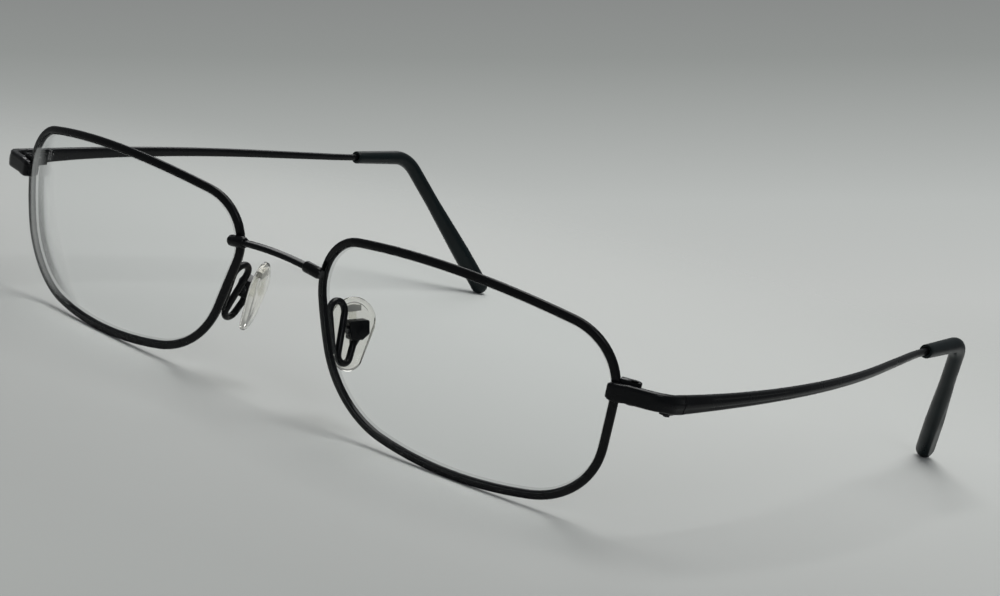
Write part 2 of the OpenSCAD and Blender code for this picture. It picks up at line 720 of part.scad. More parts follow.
module temple_tip(side) {
  color(black_tip) on(side) in_hinge() in_tip() difference() {
    union() {
      tip_rod(tip_front_r, tip_r, tip_lead, tip_round_len);
      in_drop() translate([0, 0, tip_round_len]) rotate_extrude() polygon(concat(
        [[0, 0], [tip_r, 0], [tip_end_r, drop_len - tip_round_len - tip_sleeve_len]],
        [for (k = [0:8]) on_circle([0, drop_len - tip_round_len], tip_end_r, 90 * k / 8)]
      ));
    }
    tip_rod(core_r + running_gap, core_r + running_gap, tip_lead + 1, core_drop + 0.3);
    in_drop() translate([tip_end_r - tip_flat, -2 * tip_end_r, drop_len]) rotate([0, tip_flat_turn, 0])
      translate([0, 0, tip_round_len - drop_len]) cube([tip_end_r, 4 * tip_end_r, drop_len]);
  }
}

// Frame of the drop: +Z down along it from the elbow
module in_drop() {
  rotate([-90 - tip_bend, 0, 0]) children();
}

// Gooseneck: up from the foot on the rim, over, down, round the lower turn and up into the box
module pad_arm(side) {
  color(black) on(side) difference() {
    in_front() translate(foot_at) rotate([0, -arm_plane, 0]) rotate([-arm_angles[0], 0, 0]) union() {
      wire(arm_legs[0], arm_r);
      translate([0, 0, arm_legs[0]]) bend(arm_turn_r, 180 + arm_angles[1] - arm_angles[0], arm_r) {
        wire(arm_legs[1], arm_r);
        translate([0, 0, arm_legs[1]]) mirror([0, 1, 0])
          bend(arm_low_r, 180 + arm_angles[1] - arm_angles[2], arm_r) wire(arm_legs[2], arm_r);
      }
    }
    in_eye() eye_space();
    in_box() box_blank(braze_gap);
  }
}

// Frame of the pad box, which opens towards the nose
module in_box() {
  in_pad() translate([pad_t / 2 + pad_gap + box_d / 2, box_back, box_up]) children();
}

// The box's outside: square in front, cut away at its lower back corner, its other corners eased
module box_blank(grow) {
  w = box_w / 2 + grow;
  h = box_h / 2 + grow;
  rotate([90, 0, 90]) linear_extrude(box_d + 2 * grow, center = true) polygon([
    [-w, box_ease - h], [box_ease - w, -h], [w - box_cut[0], -h], [w, box_cut[1] - h],
    [w, h - box_ease], [w - box_ease, h], [box_ease - w, h], [-w, h - box_ease]
  ]);
}

module pad_box(side) {
  color(black) on(side) in_box() difference() {
    box_blank(0);
    translate([-box_floor, 0, 0]) cube([box_d, box_w - 2 * box_wall, box_h - 2 * box_wall], center = true);
    rotate([90, 0, 0]) cylinder(h = 2 * box_w, r = pad_screw_r + running_gap, center = true);
  }
}

module pad_screw(side) {
  color(steel) on(side) in_box() union() {
    rotate([90, 0, 0]) cylinder(h = box_w + screw_out, r = pad_screw_r, center = true);
    translate([0, -box_w / 2 - braze_gap, 0]) rotate([90, 0, 0]) cylinder(h = pad_head_h, r = pad_head_r);
  }
}

// The pad's neck and the hard core inside it, in the pad's frame
module core_blank(grow) {
  side = neck_w + 2 * grow;
  translate([(pad_t + box_d) / 4, box_back, box_up])
    cube([(pad_t + box_d) / 2 + pad_gap + 2 * grow, side, side], center = true);
  translate([pad_t / 4, box_back, (core_bar_up + box_up) / 2])
    cube([core_t + 2 * grow, side, core_bar_up - box_up + side], center = true);
  translate([pad_t / 4, box_back, core_bar_up])
    cube([core_t + 2 * grow, core_bar[0] + 2 * grow, core_bar[1] + 2 * grow], center = true);
}

// Boss in the box, neck and hard core of the pad
module pad_insert(side) {
  color(clear_pad) on(side) difference() {
    union() {
      in_box() rotate([90, 0, 0]) cylinder(h = box_w - 2 * box_wall - barrel_gap, r = boss_r, center = true);
      in_pad() core_blank(0);
    }
    in_box() rotate([90, 0, 0]) cylinder(h = 2 * box_w, r = pad_screw_r + running_gap, center = true);
  }
}

// Teardrop pad with a crowned face towards the nose
module nose_pad(side) {
  color(clear_pad) on(side) in_pad() difference() {
    intersection() {
      rotate([-pad_tilt, 0, 0]) rotate([90, 0, 90]) linear_extrude(pad_t, center = true) polygon(pad_outline());
      translate([pad_crown_r - pad_t / 2, 0, 0]) sphere(pad_crown_r, $fn = 120);
    }
    core_blank(braze_gap);
  }
}

// A wide round top and a narrow round end below it, joined by straight sides
function pad_outline() =
  let (
    top_r = pad_w / 2,
    top = pad_h / 2 - top_r,
    low = pad_low_r - pad_h / 2,
    lift = asin((top_r - pad_low_r) / (top - low))
  ) concat(
    [for (k = [0:24]) on_circle([0, top], top_r, -lift + (180 + 2 * lift) * k / 24)],
    [for (k = [0:18]) on_circle([0, low], pad_low_r, 180 + lift + (180 - 2 * lift) * k / 18)]
  );

rim("left");  // rim_left
rim("right");  // rim_right
lens("left");  // lens_left
lens("right");  // lens_right
lock_upper("left");  // lock_upper_left
lock_upper("right");  // lock_upper_right
lock_lower("left");  // lock_lower_left
lock_lower("right");  // lock_lower_right
lock_screw("left");  // lock_screw_left
lock_screw("right");  // lock_screw_right
bridge_bar();
bridge_collar("left");  // bridge_collar_left
bridge_collar("right");  // bridge_collar_right
end_piece("left");  // end_piece_left
end_piece("right");  // end_piece_right
hinge_front("left");  // hinge_front_left
hinge_front("right");  // hinge_front_right
hinge_screw("left");  // hinge_screw_left
hinge_screw("right");  // hinge_screw_right
hinge_temple("left");  // hinge_temple_left
hinge_temple("right");  // hinge_temple_right
temple("left");  // temple_left
temple("right");  // temple_right
temple_tip("left");  // temple_tip_left
temple_tip("right");  // temple_tip_right
pad_arm("left");  // pad_arm_left
pad_arm("right");  // pad_arm_right
pad_box("left");  // pad_box_left
pad_box("right");  // pad_box_right
pad_screw("left");  // pad_screw_left
pad_screw("right");  // pad_screw_right
pad_insert("left");  // pad_insert_left
pad_insert("right");  // pad_insert_right
nose_pad("left");  // nose_pad_left
nose_pad("right");  // nose_pad_right
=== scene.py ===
"""Rectangular wire-rim eyeglasses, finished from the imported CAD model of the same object."""

import json
from math import asin, atan2, cos, degrees, radians, sin, sqrt, tan

import bmesh
import bpy
from bpy.props import FloatProperty, FloatVectorProperty, PointerProperty
from mathutils import Matrix, Vector


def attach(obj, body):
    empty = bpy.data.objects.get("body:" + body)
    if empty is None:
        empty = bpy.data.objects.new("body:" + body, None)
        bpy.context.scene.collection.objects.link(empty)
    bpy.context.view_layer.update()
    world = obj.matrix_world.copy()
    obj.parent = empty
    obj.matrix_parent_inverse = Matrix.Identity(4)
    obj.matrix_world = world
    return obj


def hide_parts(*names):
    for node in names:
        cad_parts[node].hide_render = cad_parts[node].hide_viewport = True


bl_info = {
    "name": "Rectangular Wire Eyeglasses",
    "version": (1, 0, 0),
    "blender": (4, 5, 0),
    "location": "View3D > Sidebar > Eyeglasses",
    "description": "Finishes the pieces of a pair of rectangular wire-rim eyeglasses",
    "category": "Add Mesh",
}

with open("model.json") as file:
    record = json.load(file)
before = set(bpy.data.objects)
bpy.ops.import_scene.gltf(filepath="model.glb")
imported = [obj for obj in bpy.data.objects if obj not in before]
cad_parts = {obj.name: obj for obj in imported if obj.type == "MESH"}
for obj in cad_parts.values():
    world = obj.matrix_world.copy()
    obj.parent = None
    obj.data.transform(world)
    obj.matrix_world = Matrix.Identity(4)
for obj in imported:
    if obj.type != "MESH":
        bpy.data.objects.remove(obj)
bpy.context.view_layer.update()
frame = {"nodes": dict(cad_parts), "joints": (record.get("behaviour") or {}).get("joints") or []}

MM = 0.001
# The sides, with the sign of X on each; shapes are made on the left one and mirrored
SIDES = {"left": 1, "right": -1}

# Lengths are in mm and angles in degrees from here to the floor

# Eye: sharp corners, radii of the sides between them, rounding of the corners, the sphere that it lies on, how
# far each rim is turned and tilted, the eyewire's rounded edges, and the gap between pieces that run or fit
CORNERS = [(27.1, 11.2), (-28.7, 12.3), (-20.7, -12.6), (24.5, -14.0)]
SIDE_R = [91.0, 165.0, 88.0, 118.0]
CORNER_R = [10.0, 8.5, 16.2, 12.2]
BASE_R = 75.0
RIM_WRAP = 4.8
RIM_TILT = 11.9
RIM_EDGE = 0.42
RUNNING_GAP = 0.03

# Lens: depth of its middle behind the wire's, its eased front and back, and the bevel's height and half width
LENS_BACK = 0.1
FRONT_EASE, BACK_EASE = 0.12, 0.15
BEVEL, BEVEL_HALF = 0.45, 0.3
# A face of the lens that leans further than this cosine from the base sphere is part of its ground edge
EDGE_LEAN = 0.85

# Bridge: the depth of its bar, and the height, depth and place of its ridge, are shares of the panel's sizes
BRIDGE_UP = 8.5
BRIDGE_BACK = 1.3
BRIDGE_ARCH = 62.0
BRIDGE_SHORT = 1.55
BRIDGE_T, BRIDGE_EDGE = 0.75, 0.4
RIDGE_H, RIDGE_T, RIDGE_OUT, RIDGE_EDGE = 0.45, 0.6, 0.2, 0.16
COLLAR_LEN = 2.8

# End piece, rim lock and hinge, whose place is measured from the middle between the rims
END_T = 1.5
END_H = 2.75
END_WAIST = 2.74
END_STEP = 0.1
END_RISE = 0.25
END_SINK = 0.35
END_BEND_R = 3.7
END_TURN = 60.5
END_PAST_RIM = 1.0
END_EDGE = 0.38
END_ROUND = 0.35
FAR_FRONT = -99.0
SPLIT_AT = 0.2
SPLIT_GAP = 0.1
HINGE_X = 70.392
HINGE_BACK = 10.875
HINGE_UP = 5.8
AXIS_IN = 1.73
SEAM_BACK = 0.8
SEAM_EASE, EASED = 0.12, 0.14
BARREL_SPAN = (-1.8, 0.75)
LOCK_SPAN = (-1.1, 9.0)
LOCK_LIFT = (1.0, 0.35)

# Temple bar, from its hinge to the tip's sleeve
TEMPLE_YAW = 9.0
TEMPLE_RISE = 2.5
BOW_R = 193.0
BOW_TURN = 19.0
SWEEP_R = 64.0
SWEEP_TURN = 6.5
BEND_LEN = 103.5
BAR_WAIST = 2.1
BAR_END_H = 1.22
BAR_END_T = 1.0
BAR_EDGE = 0.36
BAR_IN_TIP = 1.2
RIB_PART = 0.38
RIB_T = 0.2

# Temple tip
TIP_LEAD = 15.5
TIP_FRONT_R = 1.25
TIP_R = 1.4
TIP_BEND_R = 7.0
TIP_BEND = 53.0
TIP_ROLL = 20.0
TIP_ROUND_LEN = 12.0
TIP_SLEEVE_LEN = 9.0
TIP_FLAT, FLAT_TAPER = 0.3, 0.1
NO_FLAT = 99.0

# Gooseneck and nose pad; each leg of the gooseneck but the last ends in a bend of its own radius
ARM_FOOT = (12.053, 2.946, -5.1)
ARM_PLANE = 15.0
ARM_LEGS = (6.3, 6.2, 3.1)
ARM_ANGLES = (3.5, 24.0, 33.0)
ARM_TURN_R = 1.75
ARM_LOW_R = 1.4
ARM_SWELL = 0.5
PAD_AT = (10.103, 8.996, -3.85)
PAD_SPLAY = 24.0
PAD_LEAN = 12.0
PAD_TILT = 9.0
PAD_CROWN_R = 20.0
PAD_LOW_R = 2.6
PAD_LIP, PAD_LIP_H = 0.3, 0.12
PAD_WELL, PAD_WELL_RIM = 0.22, 0.95
CORE_BAR_LOW = 3.65

# Screws: node, the way the head faces, radius of the shank, radius and height of the head, and how far the head
# is filed down; the slot's width is a share of the head's radius
SCREWS = (
    ("lock_screw_", "down", 0.5, 0.85, 0.35, 0.2),
    ("hinge_screw_", "up", 0.5, 0.85, 0.35, 0.3),
    ("pad_screw_", "ahead", 0.4, 0.7, 0.3, 0.0),
)
SLOT_SHARE = 0.26

# Floor, in metres: its radius, where it fades into the room, and how far from its palest place it darkens; the
# darkening is painted shade that stands in for the lamps' falloff
FLOOR_R = 0.45
FADE_R = (0.085, 0.3)
PAINTED_LIGHT_AT = (-0.04, 0.16, 0.0)
SHADE_R = (0.12, 0.3)
SHADE = 0.78

# Wall behind: the direction that was up in the room, the part of it that the wall fills, and its colours upwards,
# which carry painted shade that darkens them towards the top and the bottom
ROOM_UP = (-0.2868, 0.0153, 0.9579)
WALL_SPAN = (-0.12, 0.12)
WALL_WITH_PAINTED_SHADE = ((0.0, 0xA8ABA8), (0.3, 0xB9BCB9), (0.5, 0xC0C2C0), (0.66, 0xB8BBB9), (0.9, 0x919492), (1.0, 0x898B8A))

# Lamps: place and width in metres, power in watts and colour, all aimed at one place
LAMPS = (
    ("overhead_softbox", (0.0, 0.1, 0.6), 0.42, 2.55, 0xFFFFFD),
    ("side_softbox", (0.6, -0.5, 0.5), 0.3, 1.0, 0xF8FAFF),
    ("back_softbox", (-0.45, 0.5, 0.5), 0.35, 0.9, 0xFFFFFF),
)
LIT_AT = Vector((0, 0, 0.02))

# Camera in the rims' frame: its right, down and forward directions, and its shift along them in mm
CAMERA_AXES = (
    Vector((0.78189, 0.61534, 0.10004)),
    Vector((0.28675, -0.21249, -0.93414)),
    Vector((-0.55356, 0.75908, -0.34259)),
)
CAMERA_SHIFT = Vector((-36.8702555, 1.07947618, 393.39359151))


def linear(hex_colour):
    """Linear red, green, blue and alpha of an sRGB colour written as 0xRRGGBB."""
    channels = [(hex_colour >> shift & 255) / 255 for shift in (16, 8, 0)]
    return (*[c / 12.92 if c <= 0.04045 else ((c + 0.055) / 1.055) ** 2.4 for c in channels], 1.0)


def size(name, description, length):
    """A length for the panel, given in mm."""
    return FloatProperty(name=name, description=description, default=length * MM, unit="LENGTH")


def hue(name, description, hex_colour):
    """A colour for the panel."""
    colour = linear(hex_colour)
    return FloatVectorProperty(name=name, description=description, subtype="COLOR", size=4, default=colour)


class EyeglassSizes(bpy.types.PropertyGroup):
    """Sizes of the eyeglasses' pieces."""

    eye_pitch: size("Lens spacing", "Distance between the middles of the lenses", 72.0)
    wire_width: size("Eyewire thickness", "Thickness of the eyewire seen from the front", 1.1)
    wire_depth: size("Eyewire depth", "Depth of the eyewire from front to back", 1.4)
    lens_thickness: size("Lens thickness", "Thickness of each lens", 1.5)
    bridge_height: size("Bridge height", "Height of the bridge bar's section", 1.55)
    bridge_depth: size("Bridge depth", "Depth of the bridge bar's section", 1.2)
    collar_radius: size("Collar radius", "Radius of the collars at the ends of the bridge", 0.95)
    bar_height: size("Temple height", "Height of the temple bar at its hinge", 2.92)
    bar_thickness: size("Temple thickness", "Thickness of the temple bar", 1.2)
    tip_radius: size("Tip radius", "Radius of the temple tip's rounded end", 1.8)
    neck_radius: size("Gooseneck radius", "Radius of the wire that carries each nose pad", 0.57)
    pad_width: size("Pad width", "Width of the nose pad", 8.0)
    pad_height: size("Pad height", "Height of the nose pad", 12.0)
    pad_thickness: size("Pad thickness", "Thickness of the nose pad", 1.7)


class EyeglassColours(bpy.types.PropertyGroup):
    """Colours of the eyeglasses' finishes."""

    metal: hue("Lacquered metal", "Colour of the black frame", 0x0A0B0D)
    screws: hue("Screws", "Colour of the blackened screws", 0x4A4B4E)
    tips: hue("Temple tips", "Colour of the tip sleeves", 0x0E1A1C)
    lenses: hue("Lenses", "Tint of the lenses", 0xFDFEFE)
    pads: hue("Nose pads", "Tint of the silicone pads", 0xFCFAF5)
    pad_core: hue("Pad core", "Colour of the mark inside each pad", 0xB0B0AA)
    floor: hue("Floor", "Colour of the floor", 0xCCCECC)


def mm(name):
    """A size of the panel, in mm."""
    return getattr(bpy.context.scene.eyeglass_sizes, name) / MM


def tint(name):
    """A colour of the panel."""
    return tuple(getattr(bpy.context.scene.eyeglass_colours, name))


def toned(colour, times, plus=0.0):
    """A colour made paler or darker."""
    return (*[c * times + plus for c in colour[:3]], 1.0)


def turn(axis, angle):
    """A turn about one of the axes."""
    return Matrix.Rotation(radians(angle), 4, axis)


def direction(pose, x, y, z):
    """A direction of a frame, as it points in the part's frame."""
    return pose.to_3x3() @ Vector((x, y, z))


# ---- Rules that give the shape, in mm ----


def on_circle(centre, r, angle):
    a = radians(angle)
    return (centre[0] + r * cos(a), centre[1] + r * sin(a))


def meet_left(c1, r1, c2, r2):
    """The meeting point of two circles that lies on the left of the line between them."""
    c1, c2 = Vector(c1), Vector(c2)
    span = (c2 - c1).length
    along = (span * span + r1 * r1 - r2 * r2) / (2 * span)
    u = (c2 - c1) / span
    return tuple(c1 + along * u + sqrt(r1 * r1 - along * along) * Vector((-u.y, u.x)))


def outline(grow, corner_steps=18, side_steps=14):
    """The eye's outline anticlockwise seen from behind its front, grown by grow."""
    side_mid = [meet_left(CORNERS[i], SIDE_R[i], CORNERS[(i + 1) % 4], SIDE_R[i]) for i in range(4)]
    inner = [(SIDE_R[i - 1] - CORNER_R[i], SIDE_R[i] - CORNER_R[i]) for i in range(4)]
    corner_mid = [meet_left(side_mid[i - 1], inner[i][0], side_mid[i], inner[i][1]) for i in range(4)]

    def bearing(i, j):
        return degrees(atan2(corner_mid[j][1] - side_mid[i][1], corner_mid[j][0] - side_mid[i][0]))

    def arc(c, r, a, b, steps):
        sweep = (b - a + 720) % 360
        return [on_circle(c, r, a + sweep * k / steps) for k in range(steps)]

    points = []
    for i in range(4):
        points += arc(corner_mid[i], CORNER_R[i] + grow, bearing(i - 1, i), bearing(i, i), corner_steps)
        points += arc(side_mid[i], SIDE_R[i] + grow, bearing(i, i), bearing(i, (i + 1) % 4), side_steps)
    return points


def sag(u, v):
    """Depth of the lens's base sphere behind the plane that touches its front."""
    return BASE_R - sqrt(BASE_R * BASE_R - u * u - v * v)


def inward(u, v):
    """The direction from the base sphere to its middle."""
    return (Vector((0, BASE_R, 0)) - Vector((u, sag(u, v), v))).normalized()


def on_base(u, v, depth=0.0):
    """A point of the base sphere or behind it, in the eye's frame."""
    return Vector((u, sag(u, v), v)) + depth * inward(u, v)


def heading(angle):
    """Direction of the temple bar seen from above, once it has turned by an angle."""
    a = radians(angle)
    return Vector((-sin(a), cos(a)))


def temple_line(steps_bow=60, steps_sweep=24):
    """Points and outward directions of the temple bar seen from above, in the hinge's frame."""
    a = radians(BOW_TURN)
    bow_end = Vector((BOW_R * (cos(a) - 1), BOW_R * sin(a)))
    straight = BEND_LEN - TIP_LEAD - RUNNING_GAP - radians(BOW_R * BOW_TURN + SWEEP_R * SWEEP_TURN)
    ahead = heading(BOW_TURN)
    sweep_mid = bow_end + straight * ahead + SWEEP_R * Vector((ahead.y, -ahead.x))
    line = []
    for k in range(steps_bow + 1):
        a = radians(BOW_TURN * k / steps_bow)
        line.append((Vector((BOW_R * (cos(a) - 1), BOW_R * sin(a))), Vector((cos(a), sin(a)))))
    for k in range(steps_sweep + 1):
        a = radians(BOW_TURN - SWEEP_TURN * k / steps_sweep)
        line.append((sweep_mid - SWEEP_R * Vector((cos(a), sin(a))), Vector((cos(a), sin(a)))))
    return line


def elbow():
    """The sharp corner of the tip's middle line over the ear, in the hinge's frame."""
    return temple_line()[-1][0] + (TIP_LEAD + RUNNING_GAP) * heading(BOW_TURN - SWEEP_TURN)


def bar_height(y, length):
    """Height of the temple bar at a distance from the hinge: a flare on a straight taper."""
    x = max(0.0, 1 - y / length)
    return BAR_END_H + (BAR_WAIST - BAR_END_H) * x + (mm("bar_height") - BAR_WAIST) * x**6


# ---- Frames of the pieces, on the left side ----

FOLD = next(Vector(j["pos_m"]) / MM for j in frame["joints"] if j["name"] == "temple_left_fold")
HINGE_TURN = turn("X", TEMPLE_RISE) @ turn("Z", -TEMPLE_YAW)
HINGE_AT = FOLD - HINGE_TURN @ Vector((-AXIS_IN, 0, 0))
HINGE = Matrix.Translation(HINGE_AT) @ HINGE_TURN
FRONT_AT = HINGE_AT - Vector((HINGE_X, HINGE_BACK, HINGE_UP))
FRONT = Matrix.Translation(FRONT_AT) @ turn("X", RIM_TILT)
ARCH = FRONT @ Matrix.Translation((0, BRIDGE_BACK, BRIDGE_UP - BRIDGE_ARCH))
PAD = FRONT @ Matrix.Translation(PAD_AT) @ turn("Z", -PAD_SPLAY) @ turn("Y", -PAD_LEAN)
ARM = FRONT @ Matrix.Translation(ARM_FOOT) @ turn("Y", -ARM_PLANE) @ turn("X", -ARM_ANGLES[0])


def eye_frame():
    return FRONT @ Matrix.Translation((mm("eye_pitch") / 2, 0, 0)) @ turn("Z", RIM_WRAP)


def side_front():
    """The eyewire's front beside the split, in the hinge's frame, and the split's height in the eye's frame."""
    half = mm("wire_depth") / 2
    right = max(p[0] for p in outline(0))
    wrap, tilt = radians(RIM_WRAP), radians(RIM_TILT)
    depth = sag(right, HINGE_UP) - half
    y = right * sin(wrap) + depth * cos(wrap)
    x = mm("eye_pitch") / 2 + right * cos(wrap) - depth * sin(wrap)
    up = (HINGE_UP - y * sin(tilt)) / cos(tilt)
    at = HINGE.inverted() @ (FRONT @ Vector((x, y, up)))
    split = HINGE_UP + SPLIT_AT + at.y * sin(radians(TEMPLE_RISE)) - (y + half) * sin(tilt)
    return at, split / cos(tilt)


# ---- Meshes ----


def put(name, data):
    """A new object in the scene."""
    made = bpy.data.objects.new(name, data)
    bpy.context.scene.collection.objects.link(made)
    return made


def edit(mesh, change):
    """Changes a mesh by a function of its bmesh."""
    bm = bmesh.new()
    bm.from_mesh(mesh)
    change(bm)
    bm.to_mesh(mesh)
    bm.free()


def shade(mesh, sharp):
    """Shades a mesh smoothly except at edges sharper than an angle."""
    mesh.shade_smooth()
    mesh.set_sharp_from_angle(angle=radians(sharp))
    return mesh


def tidy(mesh, sharp=35.0):
    """Merges doubles, turns the faces outwards and shades the mesh."""

    def mend(bm):
        bmesh.ops.remove_doubles(bm, verts=bm.verts, dist=1e-7)
        bmesh.ops.recalc_face_normals(bm, faces=bm.faces)

    edit(mesh, mend)
    return shade(mesh, sharp)


def mirrored(p, side):
    """A point or direction of the left side as it is on one of the sides."""
    return Vector((SIDES[side] * p.x, p.y, p.z))


def on_side(points, side):
    """Points in mm of the left side as they are in metres on one of the sides."""
    return [mirrored(p, side) * MM for p in points]


def loft(name, rings, side, sharp=35.0):
    """A skin over rings of points in mm, with a fan over each end."""
    count = len(rings[0])
    points = [p for ring in rings for p in ring]
    faces = []
    for r in range(len(rings) - 1):
        for k in range(count):
            a, b = r * count + k, r * count + (k + 1) % count
            faces.append((a, b, b + count, a + count))
    for start in (0, (len(rings) - 1) * count):
        points.append(sum((points[start + k] for k in range(count)), Vector()) / count)
        faces += [(start + k, start + (k + 1) % count, len(points) - 1) for k in range(count)]
    mesh = bpy.data.meshes.new(name)
    mesh.from_pydata(on_side(points, side), [], faces)
    return tidy(mesh, sharp)


def finish_piece(mesh, body, slot, *nodes):
    """Puts a finished mesh in the scene on its body, in place of the CAD nodes that it stands for."""
    piece = put(mesh.name, mesh)
    mesh.materials.clear()
    mesh.materials.append(finishes[slot])
    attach(piece, body)
    if nodes:
        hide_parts(*nodes)
    return piece


def eased_copy(node, width, body, slot="frame", span=None, lift=None):
    """A CAD node with its edges rounded as lacquer rounds them.

    Beside the hinge, it can be filed to a span of heights, or built up by braze above a height.
    """
    mesh = frame["nodes"][node].data.copy()
    mesh.name = node + "_eased"
    upright = direction(HINGE, 0, 0, 1)

    def ease(bm):
        for v in bm.verts:
            z = (v.co / MM - HINGE.translation).dot(upright)
            if span:
                v.co += upright * (min(max(z, span[0]), span[1]) - z) * MM
            if lift and z > lift[0]:
                v.co += upright * lift[1] * MM
        bmesh.ops.remove_doubles(bm, verts=bm.verts, dist=2e-6)
        bmesh.ops.dissolve_limit(bm, angle_limit=radians(1.5), verts=bm.verts, edges=bm.edges)
        edges = [e for e in bm.edges if len(e.link_faces) == 2 and e.calc_face_angle(0) > radians(32)]
        bmesh.ops.bevel(
            bm, geom=edges, offset=width * MM, segments=3, profile=0.5, affect="EDGES", clamp_overlap=True
        )

    edit(mesh, ease)
    return finish_piece(shade(mesh, 40), body, slot, node)


# ---- Node trees ----


def feed(tree, node, links):
    """Sets each input to a value, or links it to a socket, to a node's first output or to each of a list."""
    for key, value in links.items():
        for one in value if isinstance(value, list) else [value]:
            source = one.outputs[0] if isinstance(one, bpy.types.Node) else one
            if isinstance(source, bpy.types.NodeSocket):
                tree.links.new(source, node.inputs[key])
            else:
                node.inputs[key].default_value = source


def add(tree, kind, links=None, **settings):
    """Adds a node with its settings, and feeds its inputs."""
    made = tree.nodes.new(kind)
    for name, value in settings.items():
        setattr(made, name, value)
    feed(tree, made, links or {})
    return made


def show(tree, shader):
    """Makes a shader the surface of a material, or of the world."""
    out = next(n for n in tree.nodes if n.type in ("OUTPUT_MATERIAL", "OUTPUT_WORLD"))
    feed(tree, out, {"Surface": shader})


def tree_with(name, **sockets):
    """A geometry node tree with named inputs, and the outputs of its group input node."""
    tree = bpy.data.node_groups.new(name, "GeometryNodeTree")
    tree.interface.new_socket(name="Geometry", in_out="INPUT", socket_type="NodeSocketGeometry")
    for label, kind in sockets.items():
        label = label.replace("_", " ")
        tree.interface.new_socket(name=label, in_out="INPUT", socket_type="NodeSocket" + kind)
    tree.interface.new_socket(name="Geometry", in_out="OUTPUT", socket_type="NodeSocketGeometry")
    return tree, add(tree, "NodeGroupInput").outputs


def end_tree(tree, shape, material):
    """Ends a geometry node tree with a plain mesh of one material."""
    real = add(tree, "GeometryNodeRealizeInstances", {"Geometry": shape})
    painted = add(tree, "GeometryNodeSetMaterial", {"Geometry": real, "Material": material})
    add(tree, "NodeGroupOutput", {"Geometry": painted})
    return tree


def swept_wire_tree():
    """Sweeps a rounded bar or a round wire along the mesh's line.

    The attribute across says which way its depth lies, and swell how its size changes along the line.
    """
    tree, given = tree_with(
        "Swept wire", Width="Float", Depth="Float", Edge_radius="Float", Round="Bool", Material="Material"
    )
    line = add(tree, "GeometryNodeMeshToCurve", {"Mesh": given["Geometry"]})
    across = add(tree, "GeometryNodeInputNamedAttribute", {"Name": "across"}, data_type="FLOAT_VECTOR")
    turned = add(tree, "GeometryNodeSetCurveNormal", {"Curve": line, "Normal": across}, mode="FREE")
    section = {"Width": given["Width"], "Height": given["Depth"]}
    bar = add(tree, "GeometryNodeCurvePrimitiveQuadrilateral", section)
    rounding = {"Curve": bar, "Count": 5, "Radius": given["Edge radius"], "Limit Radius": True}
    rounded = add(tree, "GeometryNodeFilletCurve", rounding, mode="POLY")
    half = add(tree, "ShaderNodeMath", {0: given["Width"], 1: 0.5}, operation="MULTIPLY")
    circle = add(tree, "GeometryNodeCurvePrimitiveCircle", {"Resolution": 28, "Radius": half})
    either = {"Switch": given["Round"], "False": rounded, "True": circle}
    profile = add(tree, "GeometryNodeSwitch", either, input_type="GEOMETRY")
    swell = add(tree, "GeometryNodeInputNamedAttribute", {"Name": "swell"}, data_type="FLOAT")
    sweep = {"Curve": turned, "Profile Curve": profile, "Scale": swell, "Fill Caps": True}
    return end_tree(tree, add(tree, "GeometryNodeCurveToMesh", sweep), given["Material"])


def slotted_screw_tree():
    """Puts a slotted screw at each point, with its head along the attribute axis.

    The attributes shank and head give the sizes of its two parts, which are made one unit wide and high.
    """
    tree, given = tree_with("Slotted screws", Slot_width="Float", Material="Material")
    axis, shank_size, head_size = [
        add(tree, "GeometryNodeInputNamedAttribute", {"Name": name}, data_type="FLOAT_VECTOR")
        for name in ("axis", "shank", "head")
    ]
    aim = add(tree, "FunctionNodeAlignRotationToVector", {"Vector": axis}, axis="Z")
    shank = add(tree, "GeometryNodeMeshCylinder", {"Vertices": 28, "Radius": 1.0, "Depth": 1.0})
    hung = add(tree, "GeometryNodeTransform", {"Geometry": shank, "Translation": (0, 0, -0.5)})
    cap = add(tree, "GeometryNodeMeshCylinder", {"Vertices": 36, "Radius": 1.0, "Depth": 1.0})
    crown = {"Vertices": 36, "Radius Top": 0.82, "Radius Bottom": 1.0, "Depth": 0.3}
    shoulder = add(tree, "GeometryNodeMeshCone", crown)
    lowered = {"Geometry": cap, "Translation": (0, 0, 0.35), "Scale": (1, 1, 0.7)}
    low_cap = add(tree, "GeometryNodeTransform", lowered)
    high_cap = add(tree, "GeometryNodeTransform", {"Geometry": shoulder, "Translation": (0, 0, 0.7)})
    halves = {"Mesh 2": [low_cap, high_cap]}
    head = add(tree, "GeometryNodeMeshBoolean", halves, operation="UNION", solver="EXACT")
    cutter_size = add(tree, "ShaderNodeCombineXYZ", {"X": 3.0, "Y": given["Slot width"], "Z": 1.0})
    cutter = add(tree, "GeometryNodeMeshCube", {"Size": cutter_size})
    raised = add(tree, "GeometryNodeTransform", {"Geometry": cutter, "Translation": (0, 0, 1.0)})
    cut = {"Mesh 1": head, "Mesh 2": raised}
    slotted = add(tree, "GeometryNodeMeshBoolean", cut, operation="DIFFERENCE", solver="EXACT")
    placed = []
    for shape, measure in ((hung, shank_size), (slotted, head_size)):
        spot = {"Points": given["Geometry"], "Instance": shape, "Rotation": aim, "Scale": measure}
        placed.append(add(tree, "GeometryNodeInstanceOnPoints", spot))
    return end_tree(tree, add(tree, "GeometryNodeJoinGeometry", {0: placed}), given["Material"])


